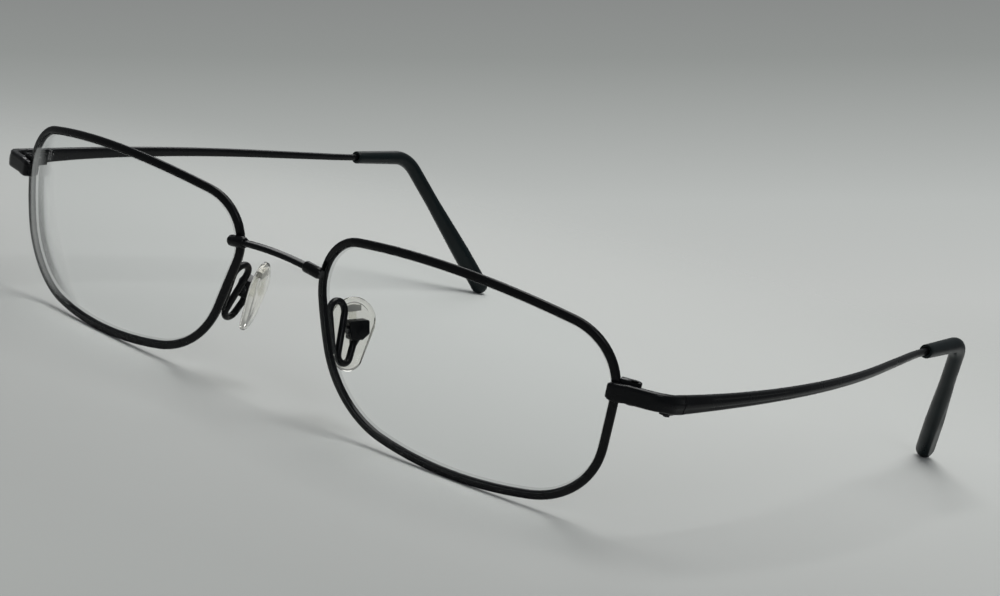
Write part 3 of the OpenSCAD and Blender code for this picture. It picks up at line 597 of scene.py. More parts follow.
def grown(name, tree, values, points, lines, attributes, sharp=35.0):
    """Runs a tree on a mesh of points in metres and returns the plain mesh that it makes."""
    mesh = bpy.data.meshes.new(name + "_line")
    mesh.from_pydata(points, lines, [])
    for label, data in attributes.items():
        kind, field = ("FLOAT_VECTOR", "vector") if isinstance(data[0], Vector) else ("FLOAT", "value")
        layer = mesh.attributes.new(label, kind, "POINT")
        for item, value in zip(layer.data, data):
            setattr(item, field, value)
    carrier = put(name + "_carrier", mesh)
    modifier = carrier.modifiers.new("Shape", "NODES")
    modifier.node_group = tree
    for item in tree.interface.items_tree:
        if item.in_out == "INPUT" and item.name in values:
            modifier[item.identifier] = values[item.name]
    bpy.context.view_layer.update()
    made = bpy.data.meshes.new_from_object(carrier.evaluated_get(bpy.context.evaluated_depsgraph_get()))
    carrier.modifiers.clear()
    bpy.data.objects.remove(carrier)
    if not made.polygons:
        raise RuntimeError(name + " came out empty")
    made.name = name
    return tidy(made, sharp)


def swept(name, path, across, side, width, depth=0.0, edge=0.0, swell=None):
    """A bar along a path in mm, on one side, or a round wire where no depth is given."""
    count = len(path)
    values = {
        "Width": width * MM,
        "Depth": depth * MM,
        "Edge radius": edge * MM,
        "Round": not depth,
        "Material": finishes["frame"],
    }
    attributes = {"across": [mirrored(a, side) for a in across], "swell": swell or [1.0] * count}
    lines = [(k, k + 1) for k in range(count - 1)]
    return grown(name, trees["wire"], values, on_side(path, side), lines, attributes)


trees = {}
finishes = {}


# ---- Finishes: each fills the tree of the material that is named for it ----


def material(recipe):
    """A material made by a recipe, which gets the tree, its shader and the coordinates of the object."""
    made = bpy.data.materials.new(recipe.__name__)
    made.use_nodes = True
    tree = made.node_tree
    place = add(tree, "ShaderNodeTexCoord").outputs["Object"]
    recipe(tree, tree.nodes["Principled BSDF"], place)
    return made


def per_mm(size_mm):
    """Scale of a pattern in Object coordinates whose grains are size_mm across."""
    return 1 / (size_mm * MM)


def grained(tree, shader, place, grain, detail, rough, reach=(0.0, 1.0), colours=None):
    """Varies a surface's roughness, and its colour between two, by a grain of a real size in mm."""
    noise = add(tree, "ShaderNodeTexNoise", {"Vector": place, "Scale": per_mm(grain), "Detail": detail})
    span = {"Value": noise, "From Min": reach[0], "From Max": reach[1], "To Min": rough[0], "To Max": rough[1]}
    feed(tree, shader, {"Roughness": add(tree, "ShaderNodeMapRange", span)})
    if colours:
        mix = {"Factor": noise, 6: colours[0], 7: colours[1]}
        feed(tree, shader, {"Base Color": add(tree, "ShaderNodeMix", mix, data_type="RGBA").outputs[2]})


def rippled(tree, shader, place, grain, detail, strength, height):
    """Ripples a surface by a grain of a real size in mm, to a height in mm."""
    noise = add(tree, "ShaderNodeTexNoise", {"Vector": place, "Scale": per_mm(grain), "Detail": detail})
    relief = {"Height": noise, "Strength": strength, "Distance": height * MM}
    feed(tree, shader, {"Normal": add(tree, "ShaderNodeBump", relief)})


def see_through(tree, shader, share, colour=(1.0, 1.0, 1.0, 1.0)):
    """Shows a shader with a share of clearness."""
    through = add(tree, "ShaderNodeBsdfTransparent", {"Color": colour})
    show(tree, add(tree, "ShaderNodeMixShader", {0: share, 1: shader, 2: through}))


def clear_under_shadow(tree, shader, shadow):
    """Lets light through a clear piece, so that its shadow stays as pale as the real one's."""
    see_through(tree, shader, add(tree, "ShaderNodeLightPath").outputs["Is Shadow Ray"], shadow)


def black_lacquered_nickel_silver(tree, shader, place):
    """Nickel silver wire, drawn and bent, then electrocoated in gloss black.

    The coat flows round the edges, so it gives soft highlights with a faint orange peel and dusty handling marks.
    """
    dusty = (tint("metal"), toned(tint("metal"), 1.5, 0.002))
    grained(tree, shader, place, 6, 4.0, (0.2, 0.34), (0.35, 0.7), dusty)
    rippled(tree, shader, place, 0.35, 2.0, 0.12, 0.03)
    feed(tree, shader, {"Specular IOR Level": 0.1, "Coat Weight": 0.12, "Coat Roughness": 0.08})


def blackened_turned_steel(tree, shader, place):
    """Stainless screw stock, turned and blackened: fine turning rings and a darker tone than bare steel."""
    grained(tree, shader, place, 0.12, 3.0, (0.25, 0.45), colours=(tint("screws"), linear(0x2A2B2D)))
    feed(tree, shader, {"Metallic": 1.0})


def blue_black_acetate(tree, shader, place):
    """Cellulose acetate tube, heat-shrunk on the temple and polished: a deep blue-green black, softly shiny."""
    grained(tree, shader, place, 4, 3.0, (0.26, 0.4), (0.3, 0.7), (tint("tips"), linear(0x0A1012)))
    rippled(tree, shader, place, 0.8, 1.0, 0.1, 0.05)
    feed(tree, shader, {"IOR": 1.48, "Specular IOR Level": 0.2})


def hard_coated_lens_plastic(tree, shader, place):
    """Polished clear lens plastic with a hard coat and an anti-reflection coat.

    It shows faint sharp reflections where it slants away, almost none face on, and a few specks of dust.
    """
    grained(tree, shader, place, 1.5, 6.0, (0.0, 0.05), (0.6, 0.8))
    feed(tree, shader, {"Base Color": tint("lenses"), "Transmission Weight": 1.0, "IOR": 1.5})
    # The anti-reflection coat works up to a slant, and past it the plain surface reflects again
    slant = add(tree, "ShaderNodeLayerWeight", {"Blend": 0.5}).outputs["Facing"]
    reach = {"Value": slant, "From Min": 0.6, "From Max": 0.72, "To Min": 0.0, "To Max": 0.7}
    bare = add(tree, "ShaderNodeMapRange", reach)
    coated = add(tree, "ShaderNodeBsdfTransparent", {"Color": (0.985, 0.99, 0.99, 1.0)})
    surface = add(tree, "ShaderNodeMixShader", {0: bare, 1: coated, 2: shader})
    clear_under_shadow(tree, surface, (0.95, 0.955, 0.955, 1.0))


def ground_lens_edge(tree, shader, place):
    """The lens's bevel, ground matt and seated in the groove, so that the black wire shows through it."""
    grit = add(tree, "ShaderNodeTexNoise", {"Vector": place, "Scale": per_mm(0.1), "Detail": 2.0})
    share = add(tree, "ShaderNodeMapRange", {"Value": grit, "To Min": 0.04, "To Max": 0.16})
    feed(tree, shader, {"Base Color": linear(0x8E9290), "Roughness": 0.6})
    through = add(tree, "ShaderNodeBsdfTransparent", {"Color": (0.9, 0.9, 0.9, 1.0)})
    show(tree, add(tree, "ShaderNodeMixShader", {0: share, 1: through, 2: shader}))


def clear_moulded_silicone(tree, shader, place):
    """Moulded clear silicone with a faint warm tint and a satin skin."""
    grained(tree, shader, place, 0.6, 3.0, (0.02, 0.09))
    feed(tree, shader, {"Base Color": tint("pads"), "Transmission Weight": 1.0})
    feed(tree, shader, {"IOR": 1.41, "Specular IOR Level": 0.35})
    clear_under_shadow(tree, shader, (0.86, 0.85, 0.82, 1.0))


def clear_moulded_core(tree, shader, place):
    """Clear hard plastic moulded into the silicone, so close to it in index that it hardly shows."""
    feed(tree, shader, {"Roughness": 0.15})
    see_through(tree, shader, 0.92, (0.93, 0.93, 0.9, 1.0))


def smoky_moulded_polycarbonate(tree, shader, place):
    """Hard grey plastic moulded into the pad, dulled by the silicone over it."""
    cloud = add(tree, "ShaderNodeTexNoise", {"Vector": place, "Scale": per_mm(0.7), "Detail": 2.0})
    tone = {"Factor": cloud, 6: tint("pad_core"), 7: linear(0xA2A29C)}
    colour = add(tree, "ShaderNodeMix", tone, data_type="RGBA").outputs[2]
    feed(tree, shader, {"Base Color": colour, "Roughness": 0.4, "IOR": 1.58})


def matt_grey_paint(tree, shader, place):
    """Matt grey paint, rolled on a flat board: no gloss, a slight mottle, and painted shade that darkens it away
    from one place, as the lamps' light falls off.
    """
    grained(tree, shader, place, 40, 2.0, (0.7, 0.9))
    # Painted shade: the paint's colour darkens with distance from one place, standing in for the lamps' falloff
    from_painted_light = add(tree, "ShaderNodeVectorMath", {0: place, 1: PAINTED_LIGHT_AT}, operation="DISTANCE")
    reach = {"Value": from_painted_light.outputs["Value"], "From Min": SHADE_R[0], "From Max": SHADE_R[1]}
    tone = {"Factor": add(tree, "ShaderNodeMapRange", reach), 6: tint("floor"), 7: toned(tint("floor"), SHADE)}
    colour = add(tree, "ShaderNodeMix", tone, data_type="RGBA").outputs[2]
    feed(tree, shader, {"Base Color": colour, "Specular IOR Level": 0.2})
    # The floor fades into the room behind it
    away = add(tree, "ShaderNodeVectorMath", {0: place}, operation="LENGTH").outputs["Value"]
    rim = {"Value": away, "From Min": FADE_R[0], "From Max": FADE_R[1]}
    see_through(tree, shader, add(tree, "ShaderNodeMapRange", rim, interpolation_type="SMOOTHERSTEP"))


# ---- Operators ----


class EYEGLASS_OT_rims(bpy.types.Operator):
    """Draw the two eyewires, open at the split of the rim lock"""

    bl_idname = "eyeglass.rims"
    bl_label = "Eyewires"

    def execute(self, context):
        eye = eye_frame()
        split = side_front()[1]
        points = outline(0)
        pairs = list(zip(points, points[1:] + points[:1]))
        cut = next(k for k, (a, b) in enumerate(pairs) if a[0] > 0 and a[1] < split <= b[1])
        (u0, v0), (u1, v1) = pairs[cut]
        start, end = [
            (u0 + (v - v0) / (v1 - v0) * (u1 - u0), v) for v in (split + SPLIT_GAP / 2, split - SPLIT_GAP / 2)
        ]
        ordered = [start, *points[cut + 1 :], *points[: cut + 1], end]
        path = [eye @ on_base(u, v) for u, v in ordered]
        across = [eye.to_3x3() @ inward(u, v) for u, v in ordered]
        for side in SIDES:
            mesh = swept("eyewire_" + side, path, across, side, mm("wire_width"), mm("wire_depth"), RIM_EDGE)
            finish_piece(mesh, "front", "frame", "rim_" + side)
        return {"FINISHED"}


class EYEGLASS_OT_lenses(bpy.types.Operator):
    """Grind the two curved lenses with their bevels in the groove"""

    bl_idname = "eyeglass.lenses"
    bl_label = "Lenses"

    def execute(self, context):
        eye = eye_frame()
        edge = -mm("wire_width") / 2 - RUNNING_GAP
        front, back = LENS_BACK - mm("lens_thickness") / 2, LENS_BACK + mm("lens_thickness") / 2
        # How far in from the wire's middle each ring of the edge lies, and its depth behind the base sphere
        edge_rings = [
            (edge - FRONT_EASE, front),
            (edge, front + FRONT_EASE),
            (edge, -BEVEL_HALF),
            (edge + BEVEL, 0.0),
            (edge, BEVEL_HALF),
            (edge, back - BACK_EASE),
            (edge - BACK_EASE, back),
        ]
        flat = outline(edge - BACK_EASE)
        shares = [0.02, 0.15, 0.3, 0.45, 0.6, 0.75, 0.88, 0.96]
        rings = [[eye @ on_base(s * u, s * v, front) for u, v in flat] for s in shares]
        rings += [[eye @ on_base(u, v, depth) for u, v in outline(grow)] for grow, depth in edge_rings]
        rings += [[eye @ on_base(s * u, s * v, back) for u, v in flat] for s in reversed(shares)]
        for side in SIDES:
            mesh = loft("lens_blank_" + side, rings, side)
            finish_piece(mesh, "front", "lens", "lens_" + side)
            mesh.materials.append(finishes["lens_edge"])
            middle = on_side([eye @ Vector((0, BASE_R, 0))], side)[0]
            for face in mesh.polygons:
                if abs(face.normal.dot((middle - face.center).normalized())) < EDGE_LEAN:
                    face.material_index = 1
        return {"FINISHED"}


class EYEGLASS_OT_bridge(bpy.types.Operator):
    """Bend the arched bridge with its ridge and its two collars"""

    bl_idname = "eyeglass.bridge"
    bl_label = "Bridge"

    def execute(self, context):
        left = min(p[0] for p in outline(0))
        half = asin((mm("eye_pitch") / 2 + left - BRIDGE_SHORT) / BRIDGE_ARCH)
        angles = [half * (k / 14 - 1) for k in range(29)]
        path = [ARCH @ Vector((BRIDGE_ARCH * sin(a), 0, BRIDGE_ARCH * cos(a))) for a in angles]
        across = [direction(ARCH, 0, 1, 0)] * len(path)
        height, depth = mm("bridge_height"), mm("bridge_depth")
        bar = swept("bridge_arch", path, across, "left", height, depth * BRIDGE_T, BRIDGE_EDGE)
        finish_piece(bar, "front", "frame", "bridge_bar")
        forward = direction(ARCH, 0, -depth * RIDGE_OUT, 0)
        top = [p + forward for p in path]
        ridge = swept("bridge_ridge", top, across, "left", height * RIDGE_H, depth * RIDGE_T, RIDGE_EDGE)
        finish_piece(ridge, "front", "frame")
        end = ARCH @ turn("Y", degrees(half)) @ Matrix.Translation((BRIDGE_SHORT, 0, BRIDGE_ARCH))
        # Along the collar from the bar to the rim, with the share of its radius at each point
        stations = [(-COLLAR_LEN, 0.8), (0.12 - COLLAR_LEN, 0.94), (0.3 - COLLAR_LEN, 1.0)]
        stations += [(-1.0, 1.0), (0.0, 1.0), (0.3, 0.94), (0.6, 0.7)]
        path = [end @ Vector((x, 0, 0)) for x, _ in stations]
        across = [direction(end, 0, 1, 0)] * len(path)
        swell = [share for _, share in stations]
        for side in SIDES:
            mesh = swept("bridge_sleeve_" + side, path, across, side, 2 * mm("collar_radius"), swell=swell)
            finish_piece(mesh, "front", "frame", "bridge_collar_" + side)
        return {"FINISHED"}


def bar_section(low, high, near, far, rib_half, rib, edge):
    """A rounded upright section from near to far, with a rounded rib along the middle of its far face."""
    edge = min(edge, (high - low) * 0.3, (far - near) * 0.45)
    # A rib of no height would fold the skin
    rib = max(rib, 0.001)
    middle = (low + high) / 2
    foot = 0.22 * rib_half
    points = []
    for x, z, start in ((far, low, -90), (far, high, 0), (near, high, 90), (near, low, 180)):
        centre = (x - edge if x == far else x + edge, z + edge if z == low else z - edge)
        points += [on_circle(centre, edge, start + 90 * j / 4) for j in range(5)]
        if start == -90:
            points += [
                (far, middle - rib_half - foot),
                (far + rib * 0.8, middle - rib_half + foot),
                (far + rib, middle - rib_half * 0.35),
                (far + rib, middle + rib_half * 0.35),
                (far + rib * 0.8, middle + rib_half - foot),
                (far, middle + rib_half + foot),
            ]
    return points


def stood(section, p, normal):
    """A section stood at a point of the line seen from above, facing its outward direction."""
    return [HINGE @ Vector((p.x + x * normal.x, p.y + x * normal.y, z)) for x, z in section]


class EYEGLASS_OT_end_pieces(bpy.types.Operator):
    """Forge the two end pieces and ease the rim locks behind them"""

    bl_idname = "eyeglass.end_pieces"
    bl_label = "End pieces and rim locks"

    def execute(self, context):
        at = side_front()[0]
        t = mm("bar_thickness") / 2
        a = radians(END_TURN)
        ahead = Vector((-sin(a), -cos(a)))
        out = Vector((cos(a), -sin(a)))
        over = Vector((at.x, at.y)) + (END_T / 2 - END_SINK) * out
        run = (END_BEND_R * (1 - cos(a)) + over.x) / ahead.x
        lead = -over.y - END_BEND_R * sin(a) + run * ahead.y
        reach = run + END_PAST_RIM
        # Place, outward direction and share of the way to the front
        line = [(Vector((0, SEAM_BACK - y)), Vector((1, 0)), 0.0) for y in (0, EASED)]
        steps = 28
        for k in range(steps + 1):
            b = a * k / steps
            p = Vector((END_BEND_R * (cos(b) - 1), -lead - END_BEND_R * sin(b)))
            line.append((p, Vector((cos(b), -sin(b))), k / steps))
        bend_end = line[-1][0]
        line += [(bend_end + reach * k / 20 * ahead, out, 1.0) for k in range(1, 21)]
        bar_h = mm("bar_height")
        block = over.y + END_T / 3
        # Distance back, and the middle and height of the strip there
        heights = [
            (SEAM_BACK, 0.0, bar_h),
            (-lead / 2, 0.0, bar_h),
            (-lead - END_BEND_R / 2, END_RISE, END_WAIST),
            (block + END_T / 3, END_RISE, END_WAIST),
            (block, END_STEP, END_H),
            (FAR_FRONT, END_STEP, END_H),
        ]
        heights = [(y, middle - h / 2, middle + h / 2) for y, middle, h in heights]

        def span(y):
            for (y0, l0, h0), (y1, l1, h1) in zip(heights, heights[1:]):
                if y >= y1:
                    s = (y - y0) / (y1 - y0)
                    return l0 + s * (l1 - l0), h0 + s * (h1 - h0)
            return heights[-1][1:]

        total = len(line)
        rings = []
        for k, (p, normal, share) in enumerate(line):
            low, high = span(p.y)
            far = t + (END_T - 2 * t) * share
            ease = (SEAM_EASE if k == 0 else 0.0) + max(0.0, (k - (total - 4)) / 3) ** 2 * END_ROUND
            sides = (low + ease, high - ease, ease * 0.5 - t, far - ease)
            section = bar_section(*sides, RIB_PART * bar_h / 2, RIB_T * (1 - share), END_EDGE)
            rings.append(stood(section, p, normal))
        for side in SIDES:
            mesh = loft("end_piece_forging_" + side, rings, side)
            finish_piece(mesh, "front", "frame", "end_piece_" + side)
            eased_copy("lock_upper_" + side, 0.32, "front", lift=LOCK_LIFT)
            eased_copy("lock_lower_" + side, 0.2, "front", span=LOCK_SPAN)
        return {"FINISHED"}


class EYEGLASS_OT_hinges(bpy.types.Operator):
    """Ease the barrels and leaves of the two temple hinges"""

    bl_idname = "eyeglass.hinges"
    bl_label = "Hinges"

    def execute(self, context):
        for side in SIDES:
            eased_copy("hinge_front_" + side, 0.09, "front", span=BARREL_SPAN)
            eased_copy("hinge_temple_" + side, 0.09, "temple_" + side)
        return {"FINISHED"}


class EYEGLASS_OT_temples(bpy.types.Operator):
    """Roll the two bowed and ribbed temple bars"""

    bl_idname = "eyeglass.temples"
    bl_label = "Temple bars"

    def execute(self, context):
        line = temple_line()
        length = line[-1][0].y
        last = len(line) - 1
        t = mm("bar_thickness") / 2
        front = SEAM_BACK + RUNNING_GAP
        # Place, outward direction, share of the way back and how far the edges are eased
        stations = [(Vector((0, front + y)), line[0][1], 0.0, ease) for y, ease in ((0, SEAM_EASE), (EASED, 0.0))]
        stations += [(p, normal, k / last, 0.0) for k, (p, normal) in enumerate(line) if k]
        rings = []
        for p, normal, share, ease in stations:
            half_t = t + (BAR_END_T / 2 - t) * share
            h = bar_height(p.y, length)
            sides = (ease - h / 2, h / 2 - ease, -half_t, half_t - ease)
            section = bar_section(*sides, RIB_PART * h / 2, RIB_T * (1 - share), BAR_EDGE)
            rings.append(stood(section, p, normal))
        beyond = direction(HINGE, *heading(BOW_TURN - SWEEP_TURN), 0)
        rings.append([v + BAR_IN_TIP * beyond for v in rings[-1]])
        for side in SIDES:
            mesh = loft("temple_bar_" + side, rings, side)
            finish_piece(mesh, "temple_" + side, "frame", "temple_" + side)
        return {"FINISHED"}


class EYEGLASS_OT_tips(bpy.types.Operator):
    """Shrink the two tip sleeves on the temples, with a flat along their ends"""

    bl_idname = "eyeglass.tips"
    bl_label = "Temple tips"

    def execute(self, context):
        tip = HINGE @ Matrix.Translation(elbow().to_3d())
        tip = tip @ turn("Z", BOW_TURN - SWEEP_TURN) @ turn("Y", TIP_ROLL)
        bend = radians(TIP_BEND)
        tangent = TIP_BEND_R * tan(bend / 2)
        down = Vector((cos(bend), -sin(bend)))
        end_r = mm("tip_radius")
        drop_len = (tip.to_translation().z - end_r) / -direction(tip, 0, *down).z
        sleeve_top = drop_len - TIP_SLEEVE_LEN
        # Each ring's place and heading along the sleeve, its radius and how far out its flat lies.
        # The first ones line its open mouth
        mouth = [(0.7, 0.68), (0.05, 0.72), (0.0, 0.78), (0.0, TIP_FRONT_R - 0.16), (0.05, TIP_FRONT_R - 0.04)]
        for k in range(13):
            s = 0.2 + (TIP_LEAD - tangent - 0.2) * k / 12
            mouth.append((s, TIP_FRONT_R + (TIP_R - TIP_FRONT_R) * s / (TIP_LEAD - tangent)))
        stations = [(Vector((s - TIP_LEAD, 0)), 0.0, r, NO_FLAT) for s, r in mouth]
        for k in range(1, 16):
            b = bend * k / 16
            p = Vector((-tangent + TIP_BEND_R * sin(b), TIP_BEND_R * (cos(b) - 1)))
            stations.append((p, b, TIP_R, NO_FLAT))
        stops = [tangent + (TIP_ROUND_LEN - tangent) * k / 8 for k in range(9)]
        stops += [TIP_ROUND_LEN + (sleeve_top - TIP_ROUND_LEN) * k / 10 for k in range(1, 11)]
        stops += [sleeve_top + TIP_SLEEVE_LEN * k / 10 for k in range(1, 11)]
        for s in stops:
            swell = min(1.0, max(0.0, (s - TIP_ROUND_LEN) / (sleeve_top - TIP_ROUND_LEN)))
            flat = end_r - TIP_FLAT + FLAT_TAPER * (drop_len - s) / (drop_len - TIP_ROUND_LEN)
            r = TIP_R + (end_r - TIP_R) * swell
            stations.append((s * down, bend, r, flat if s > TIP_ROUND_LEN else NO_FLAT))
        for k in range(1, 10):
            b = radians(10 * k)
            s = drop_len + end_r * sin(b)
            stations.append((s * down, bend, end_r * cos(b) + 0.002, end_r - TIP_FLAT))
        rings = []
        for p, b, r, flat in stations:
            up = Vector((sin(b), cos(b)))
            ring = []
            for k in range(40):
                c = radians(9 * k)
                x, w = min(r * cos(c), flat), r * sin(c)
                ring.append(tip @ Vector((x, p.x + w * up.x, p.y + w * up.y)))
            rings.append(ring)
        for side in SIDES:
            mesh = loft("tip_sleeve_" + side, rings, side, 20)
            finish_piece(mesh, "temple_" + side, "tip", "temple_tip_" + side)
        return {"FINISHED"}


class EYEGLASS_OT_goosenecks(bpy.types.Operator):
    """Bend the two gooseneck pad arms and ease their boxes"""

    bl_idname = "eyeglass.goosenecks"
    bl_label = "Pad arms and boxes"

    def execute(self, context):
        path, turned = [Vector((0.0, 0.0))], 0.0
        bends = (180 + ARM_ANGLES[1] - ARM_ANGLES[0], ARM_ANGLES[2] - ARM_ANGLES[1] - 180, 0.0)
        for leg, bend, radius in zip(ARM_LEGS, bends, (ARM_TURN_R, ARM_LOW_R, 0.0)):
            at, ahead = path[-1], Vector((sin(turned), cos(turned)))
            path += [at + leg * k / 6 * ahead for k in range(1, 7)]
            centre = path[-1] + (radius if bend > 0 else -radius) * Vector((ahead.y, -ahead.x))
            start = path[-1] - centre
            steps = 26 if bend else 0
            for k in range(1, steps + 1):
                b = radians(bend) * k / steps
                spun = (start.x * cos(b) + start.y * sin(b), start.y * cos(b) - start.x * sin(b))
                path.append(centre + Vector(spun))
            turned += radians(bend)
        total = len(path)
        # The wire swells where it is brazed into the box
        swell = [0.9] + [1.0 + ARM_SWELL * max(0.0, (k - (total - 3)) / 2) for k in range(1, total)]
        placed = [ARM @ Vector((0, p.x, p.y)) for p in path]
        across = [direction(ARM, 1, 0, 0)] * total
        for side in SIDES:
            mesh = swept("gooseneck_" + side, placed, across, side, 2 * mm("neck_radius"), swell=swell)
            finish_piece(mesh, "front", "frame", "pad_arm_" + side)
            eased_copy("pad_box_" + side, 0.2, "front")
        return {"FINISHED"}


def pad_outline(grow):
    """The pad's teardrop, grown by grow, tilted as it sits on its core."""
    top_r, low_r = mm("pad_width") / 2, PAD_LOW_R
    top, low = mm("pad_height") / 2 - top_r, low_r - mm("pad_height") / 2
    lift = degrees(asin((top_r - low_r) / (top - low)))
    points = [on_circle((0, top), top_r + grow, -lift + (180 + 2 * lift) * k / 36) for k in range(37)]
    points += [on_circle((0, low), low_r + grow, 180 + lift + (180 - 2 * lift) * k / 24) for k in range(25)]
    c, s = cos(radians(-PAD_TILT)), sin(radians(-PAD_TILT))
    return [(y * c - z * s, y * s + z * c) for y, z in points]


class EYEGLASS_OT_pads(bpy.types.Operator):
    """Mould the two silicone nose pads round their hard cores"""

    bl_idname = "eyeglass.pads"
    bl_label = "Nose pads"

    def execute(self, context):
        t = mm("pad_thickness")

        def face(y, z):
            return (y * y + z * z) / (2 * PAD_CROWN_R) - t / 2

        lip = pad_outline(-PAD_LIP)
        shares = (0.03, 0.2, 0.4, 0.6, 0.8, 0.93, 1.0)
        rings = [[(face(s * y, s * z), s * y, s * z) for y, z in lip] for s in shares]
        rings.append([(face(y, z) + PAD_LIP_H, y, z) for y, z in pad_outline(-0.08)])
        rings.append([(face(y, z) * 0.5 + t * 0.25, y, z) for y, z in pad_outline(0)])
        # The back's rounded edge: how far in each ring lies, and how far below the back
        for inset, below in ((0.06, 0.14), (0.2, 0.03), (0.35, 0.0), (0.6, 0.0), (0.75, 0.06)):
            rings.append([(t / 2 - below, y, z) for y, z in pad_outline(-inset)])
        well = pad_outline(-PAD_WELL_RIM)
        rings += [[(t / 2 - PAD_WELL, s * y, s * z) for y, z in well] for s in (1.0, 0.9, 0.7, 0.45, 0.2, 0.03)]
        placed = [[PAD @ Vector(p) for p in ring] for ring in rings]
        for side in SIDES:
            mesh = loft("silicone_pad_" + side, placed, side)
            finish_piece(mesh, "pad_" + side, "pad", "nose_pad_" + side)
            core = eased_copy("pad_insert_" + side, 0.06, "pad_" + side, "core").data
            core.materials.append(finishes["core_bar"])
            cut = mirrored(PAD @ Vector((0, 0, CORE_BAR_LOW)), side)
            upright = mirrored(direction(PAD, 0, 0, 1), side)

            def part(bm):
                parts = [*bm.verts, *bm.edges, *bm.faces]
                bmesh.ops.bisect_plane(bm, geom=parts, plane_co=cut * MM, plane_no=upright, dist=1e-7)
                for f in bm.faces:
                    f.material_index = int((f.calc_center_median() / MM - cut).dot(upright) > 0)

            edit(core, part)
        return {"FINISHED"}


class EYEGLASS_OT_screws(bpy.types.Operator):
    """Turn the slotted screws of the locks, hinges and pads"""

    bl_idname = "eyeglass.screws"
    bl_label = "Screws"

    def execute(self, context):
        up = direction(HINGE, 0, 0, 1)
        facing = {"up": up, "down": -up, "ahead": direction(PAD, 0, -1, 0)}
        points, nodes = [], []
        attributes = {"axis": [], "shank": [], "head": []}
        for side in SIDES:
            for node, way, shank_r, head_r, head_h, filed in SCREWS:
                corners = [v.co / MM for v in frame["nodes"][node + side].data.vertices]
                aim = mirrored(facing[way], side)
                along = [v.dot(aim) for v in corners]
                # The corners of the head's flat top
                top = [v for v, d in zip(corners, along) if d > max(along) - 0.02]
                crown = (Vector(map(min, zip(*top))) + Vector(map(max, zip(*top)))) / 2
                points.append((crown - aim * (head_h + filed)) * MM)
                nodes.append(node + side)
                shank_h = max(along) - min(along) - head_h - filed
                attributes["axis"].append(aim)
                attributes["shank"].append(Vector((shank_r, shank_r, shank_h)) * MM)
                attributes["head"].append(Vector((head_r, head_r, head_h)) * MM)
        values = {"Slot width": SLOT_SHARE, "Material": finishes["steel"]}
        mesh = grown("slotted_screws", trees["screws"], values, points, [], attributes, 30.0)
        finish_piece(mesh, "front", "steel", *nodes)
        return {"FINISHED"}


def lay_floor():
    """A flat round floor."""
    mesh = bpy.data.meshes.new("floor")
    disc = {"cap_ends": True, "cap_tris": True, "segments": 96, "radius": FLOOR_R}
    edit(mesh, lambda bm: bmesh.ops.create_circle(bm, **disc))
    mesh.materials.append(finishes["floor"])
    floor = put("floor", mesh)


def light_room():
    """A dim even light, and a wall behind that shows to the camera and through the lenses only, with painted
    shade that darkens it towards its top and bottom.
    """
    world = bpy.data.worlds.new("soft_room")
    bpy.context.scene.world = world
    world.use_nodes = True
    room = world.node_tree
    light = room.nodes["Background"]
    feed(room, light, {"Color": linear(0xE4E8EA), "Strength": 0.2})
    toward = add(room, "ShaderNodeTexCoord").outputs["Generated"]
    height = add(room, "ShaderNodeVectorMath", {0: toward, 1: ROOM_UP}, operation="DOT_PRODUCT")
    reach = {"Value": height.outputs["Value"], "From Min": WALL_SPAN[0], "From Max": WALL_SPAN[1]}
    # The wall's colours are painted shade, darker upwards and downwards from its bright middle
    ramp = add(room, "ShaderNodeValToRGB", {0: add(room, "ShaderNodeMapRange", reach)})
    stops = ramp.color_ramp.elements
    while len(stops) < len(WALL_WITH_PAINTED_SHADE):
        stops.new(0.5)
    for stop, (where, _) in zip(stops, WALL_WITH_PAINTED_SHADE):
        stop.position = where
    for stop, (_, colour) in zip(stops, WALL_WITH_PAINTED_SHADE):
        stop.color = linear(colour)
    wall = add(room, "ShaderNodeBackground", {"Color": ramp})
    path = add(room, "ShaderNodeLightPath").outputs
    rays = {0: path["Is Camera Ray"], 1: path["Is Transmission Ray"]}
    seen = add(room, "ShaderNodeMath", rays, operation="MAXIMUM")
    show(room, add(room, "ShaderNodeMixShader", {0: seen, 1: light, 2: wall}))


def hang_lamps():
    """The soft lamps."""
    for name, where, width, power, colour in LAMPS:
        data = bpy.data.lights.new(name, "AREA")
        data.energy, data.size, data.color = power, width, linear(colour)[:3]
        lamp = put(name, data)
        lamp.location = where
        lamp.rotation_euler = (LIT_AT - Vector(where)).to_track_quat("-Z", "Y").to_euler()


def aim_camera():
    """The camera at the photograph's viewing angle."""
    right, down, forward = CAMERA_AXES
    lens = bpy.data.cameras.new("camera")
    lens.lens, lens.sensor_width = 90.0, 36.0
    lens.clip_start, lens.clip_end = 0.02, 20.0
    camera = put("camera", lens)
    pose = Matrix((right, -down, -forward)).transposed().to_4x4()
    pose.translation = -sum((s * axis for s, axis in zip(CAMERA_SHIFT, CAMERA_AXES)), Vector())
    placed = FRONT @ pose
    placed.translation = placed.translation * MM
    camera.matrix_world = placed
    bpy.context.scene.camera = camera


class EYEGLASS_OT_stage(bpy.types.Operator):
    """Set up the pale floor and the room, the soft lamps and the camera"""

    bl_idname = "eyeglass.stage"
    bl_label = "Stage"

    def execute(self, context):
        lay_floor()
        light_room()
        hang_lamps()
        aim_camera()
        context.scene.view_settings.view_transform = "Standard"
        return {"FINISHED"}


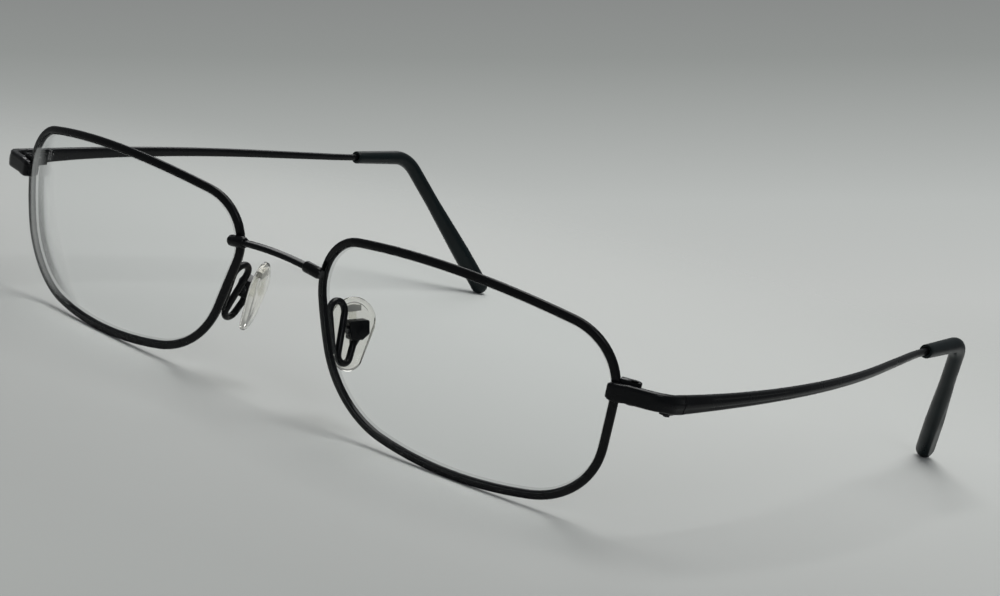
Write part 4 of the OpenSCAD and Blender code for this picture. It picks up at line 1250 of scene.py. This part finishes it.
STEPS = (
    EYEGLASS_OT_rims,
    EYEGLASS_OT_lenses,
    EYEGLASS_OT_bridge,
    EYEGLASS_OT_end_pieces,
    EYEGLASS_OT_hinges,
    EYEGLASS_OT_temples,
    EYEGLASS_OT_tips,
    EYEGLASS_OT_goosenecks,
    EYEGLASS_OT_pads,
    EYEGLASS_OT_screws,
    EYEGLASS_OT_stage,
)


class EYEGLASS_PT_panel(bpy.types.Panel):
    """Sizes, colours and pieces of the eyeglasses"""

    bl_idname = "EYEGLASS_PT_panel"
    bl_label = "Eyeglasses"
    bl_space_type = "VIEW_3D"
    bl_region_type = "UI"
    bl_category = "Eyeglasses"

    def draw(self, context):
        for group in (context.scene.eyeglass_sizes, context.scene.eyeglass_colours):
            box = self.layout.box()
            for name in group.__annotations__:
                box.prop(group, name)
        for step in STEPS:
            self.layout.operator(step.bl_idname)


CLASSES = (EyeglassSizes, EyeglassColours, *STEPS, EYEGLASS_PT_panel)


def register():
    for cls in CLASSES:
        bpy.utils.register_class(cls)
    bpy.types.Scene.eyeglass_sizes = PointerProperty(type=EyeglassSizes)
    bpy.types.Scene.eyeglass_colours = PointerProperty(type=EyeglassColours)


def unregister():
    del bpy.types.Scene.eyeglass_colours
    del bpy.types.Scene.eyeglass_sizes
    for cls in reversed(CLASSES):
        bpy.utils.unregister_class(cls)


def main():
    register()
    trees.update(wire=swept_wire_tree(), screws=slotted_screw_tree())
    # A piece takes the finish that has the name of its slot; three more finishes go on faces and on the floor
    finishes.update(
        frame=material(black_lacquered_nickel_silver),
        steel=material(blackened_turned_steel),
        tip=material(blue_black_acetate),
        lens=material(hard_coated_lens_plastic),
        lens_edge=material(ground_lens_edge),
        pad=material(clear_moulded_silicone),
        core=material(clear_moulded_core),
        core_bar=material(smoky_moulded_polycarbonate),
        floor=material(matt_grey_paint),
    )
    bpy.ops.eyeglass.rims()
    bpy.ops.eyeglass.lenses()
    bpy.ops.eyeglass.bridge()
    bpy.ops.eyeglass.end_pieces()
    bpy.ops.eyeglass.hinges()
    bpy.ops.eyeglass.temples()
    bpy.ops.eyeglass.tips()
    bpy.ops.eyeglass.goosenecks()
    bpy.ops.eyeglass.pads()
    bpy.ops.eyeglass.screws()
    bpy.ops.eyeglass.stage()


if __name__ == "__main__":
    main()
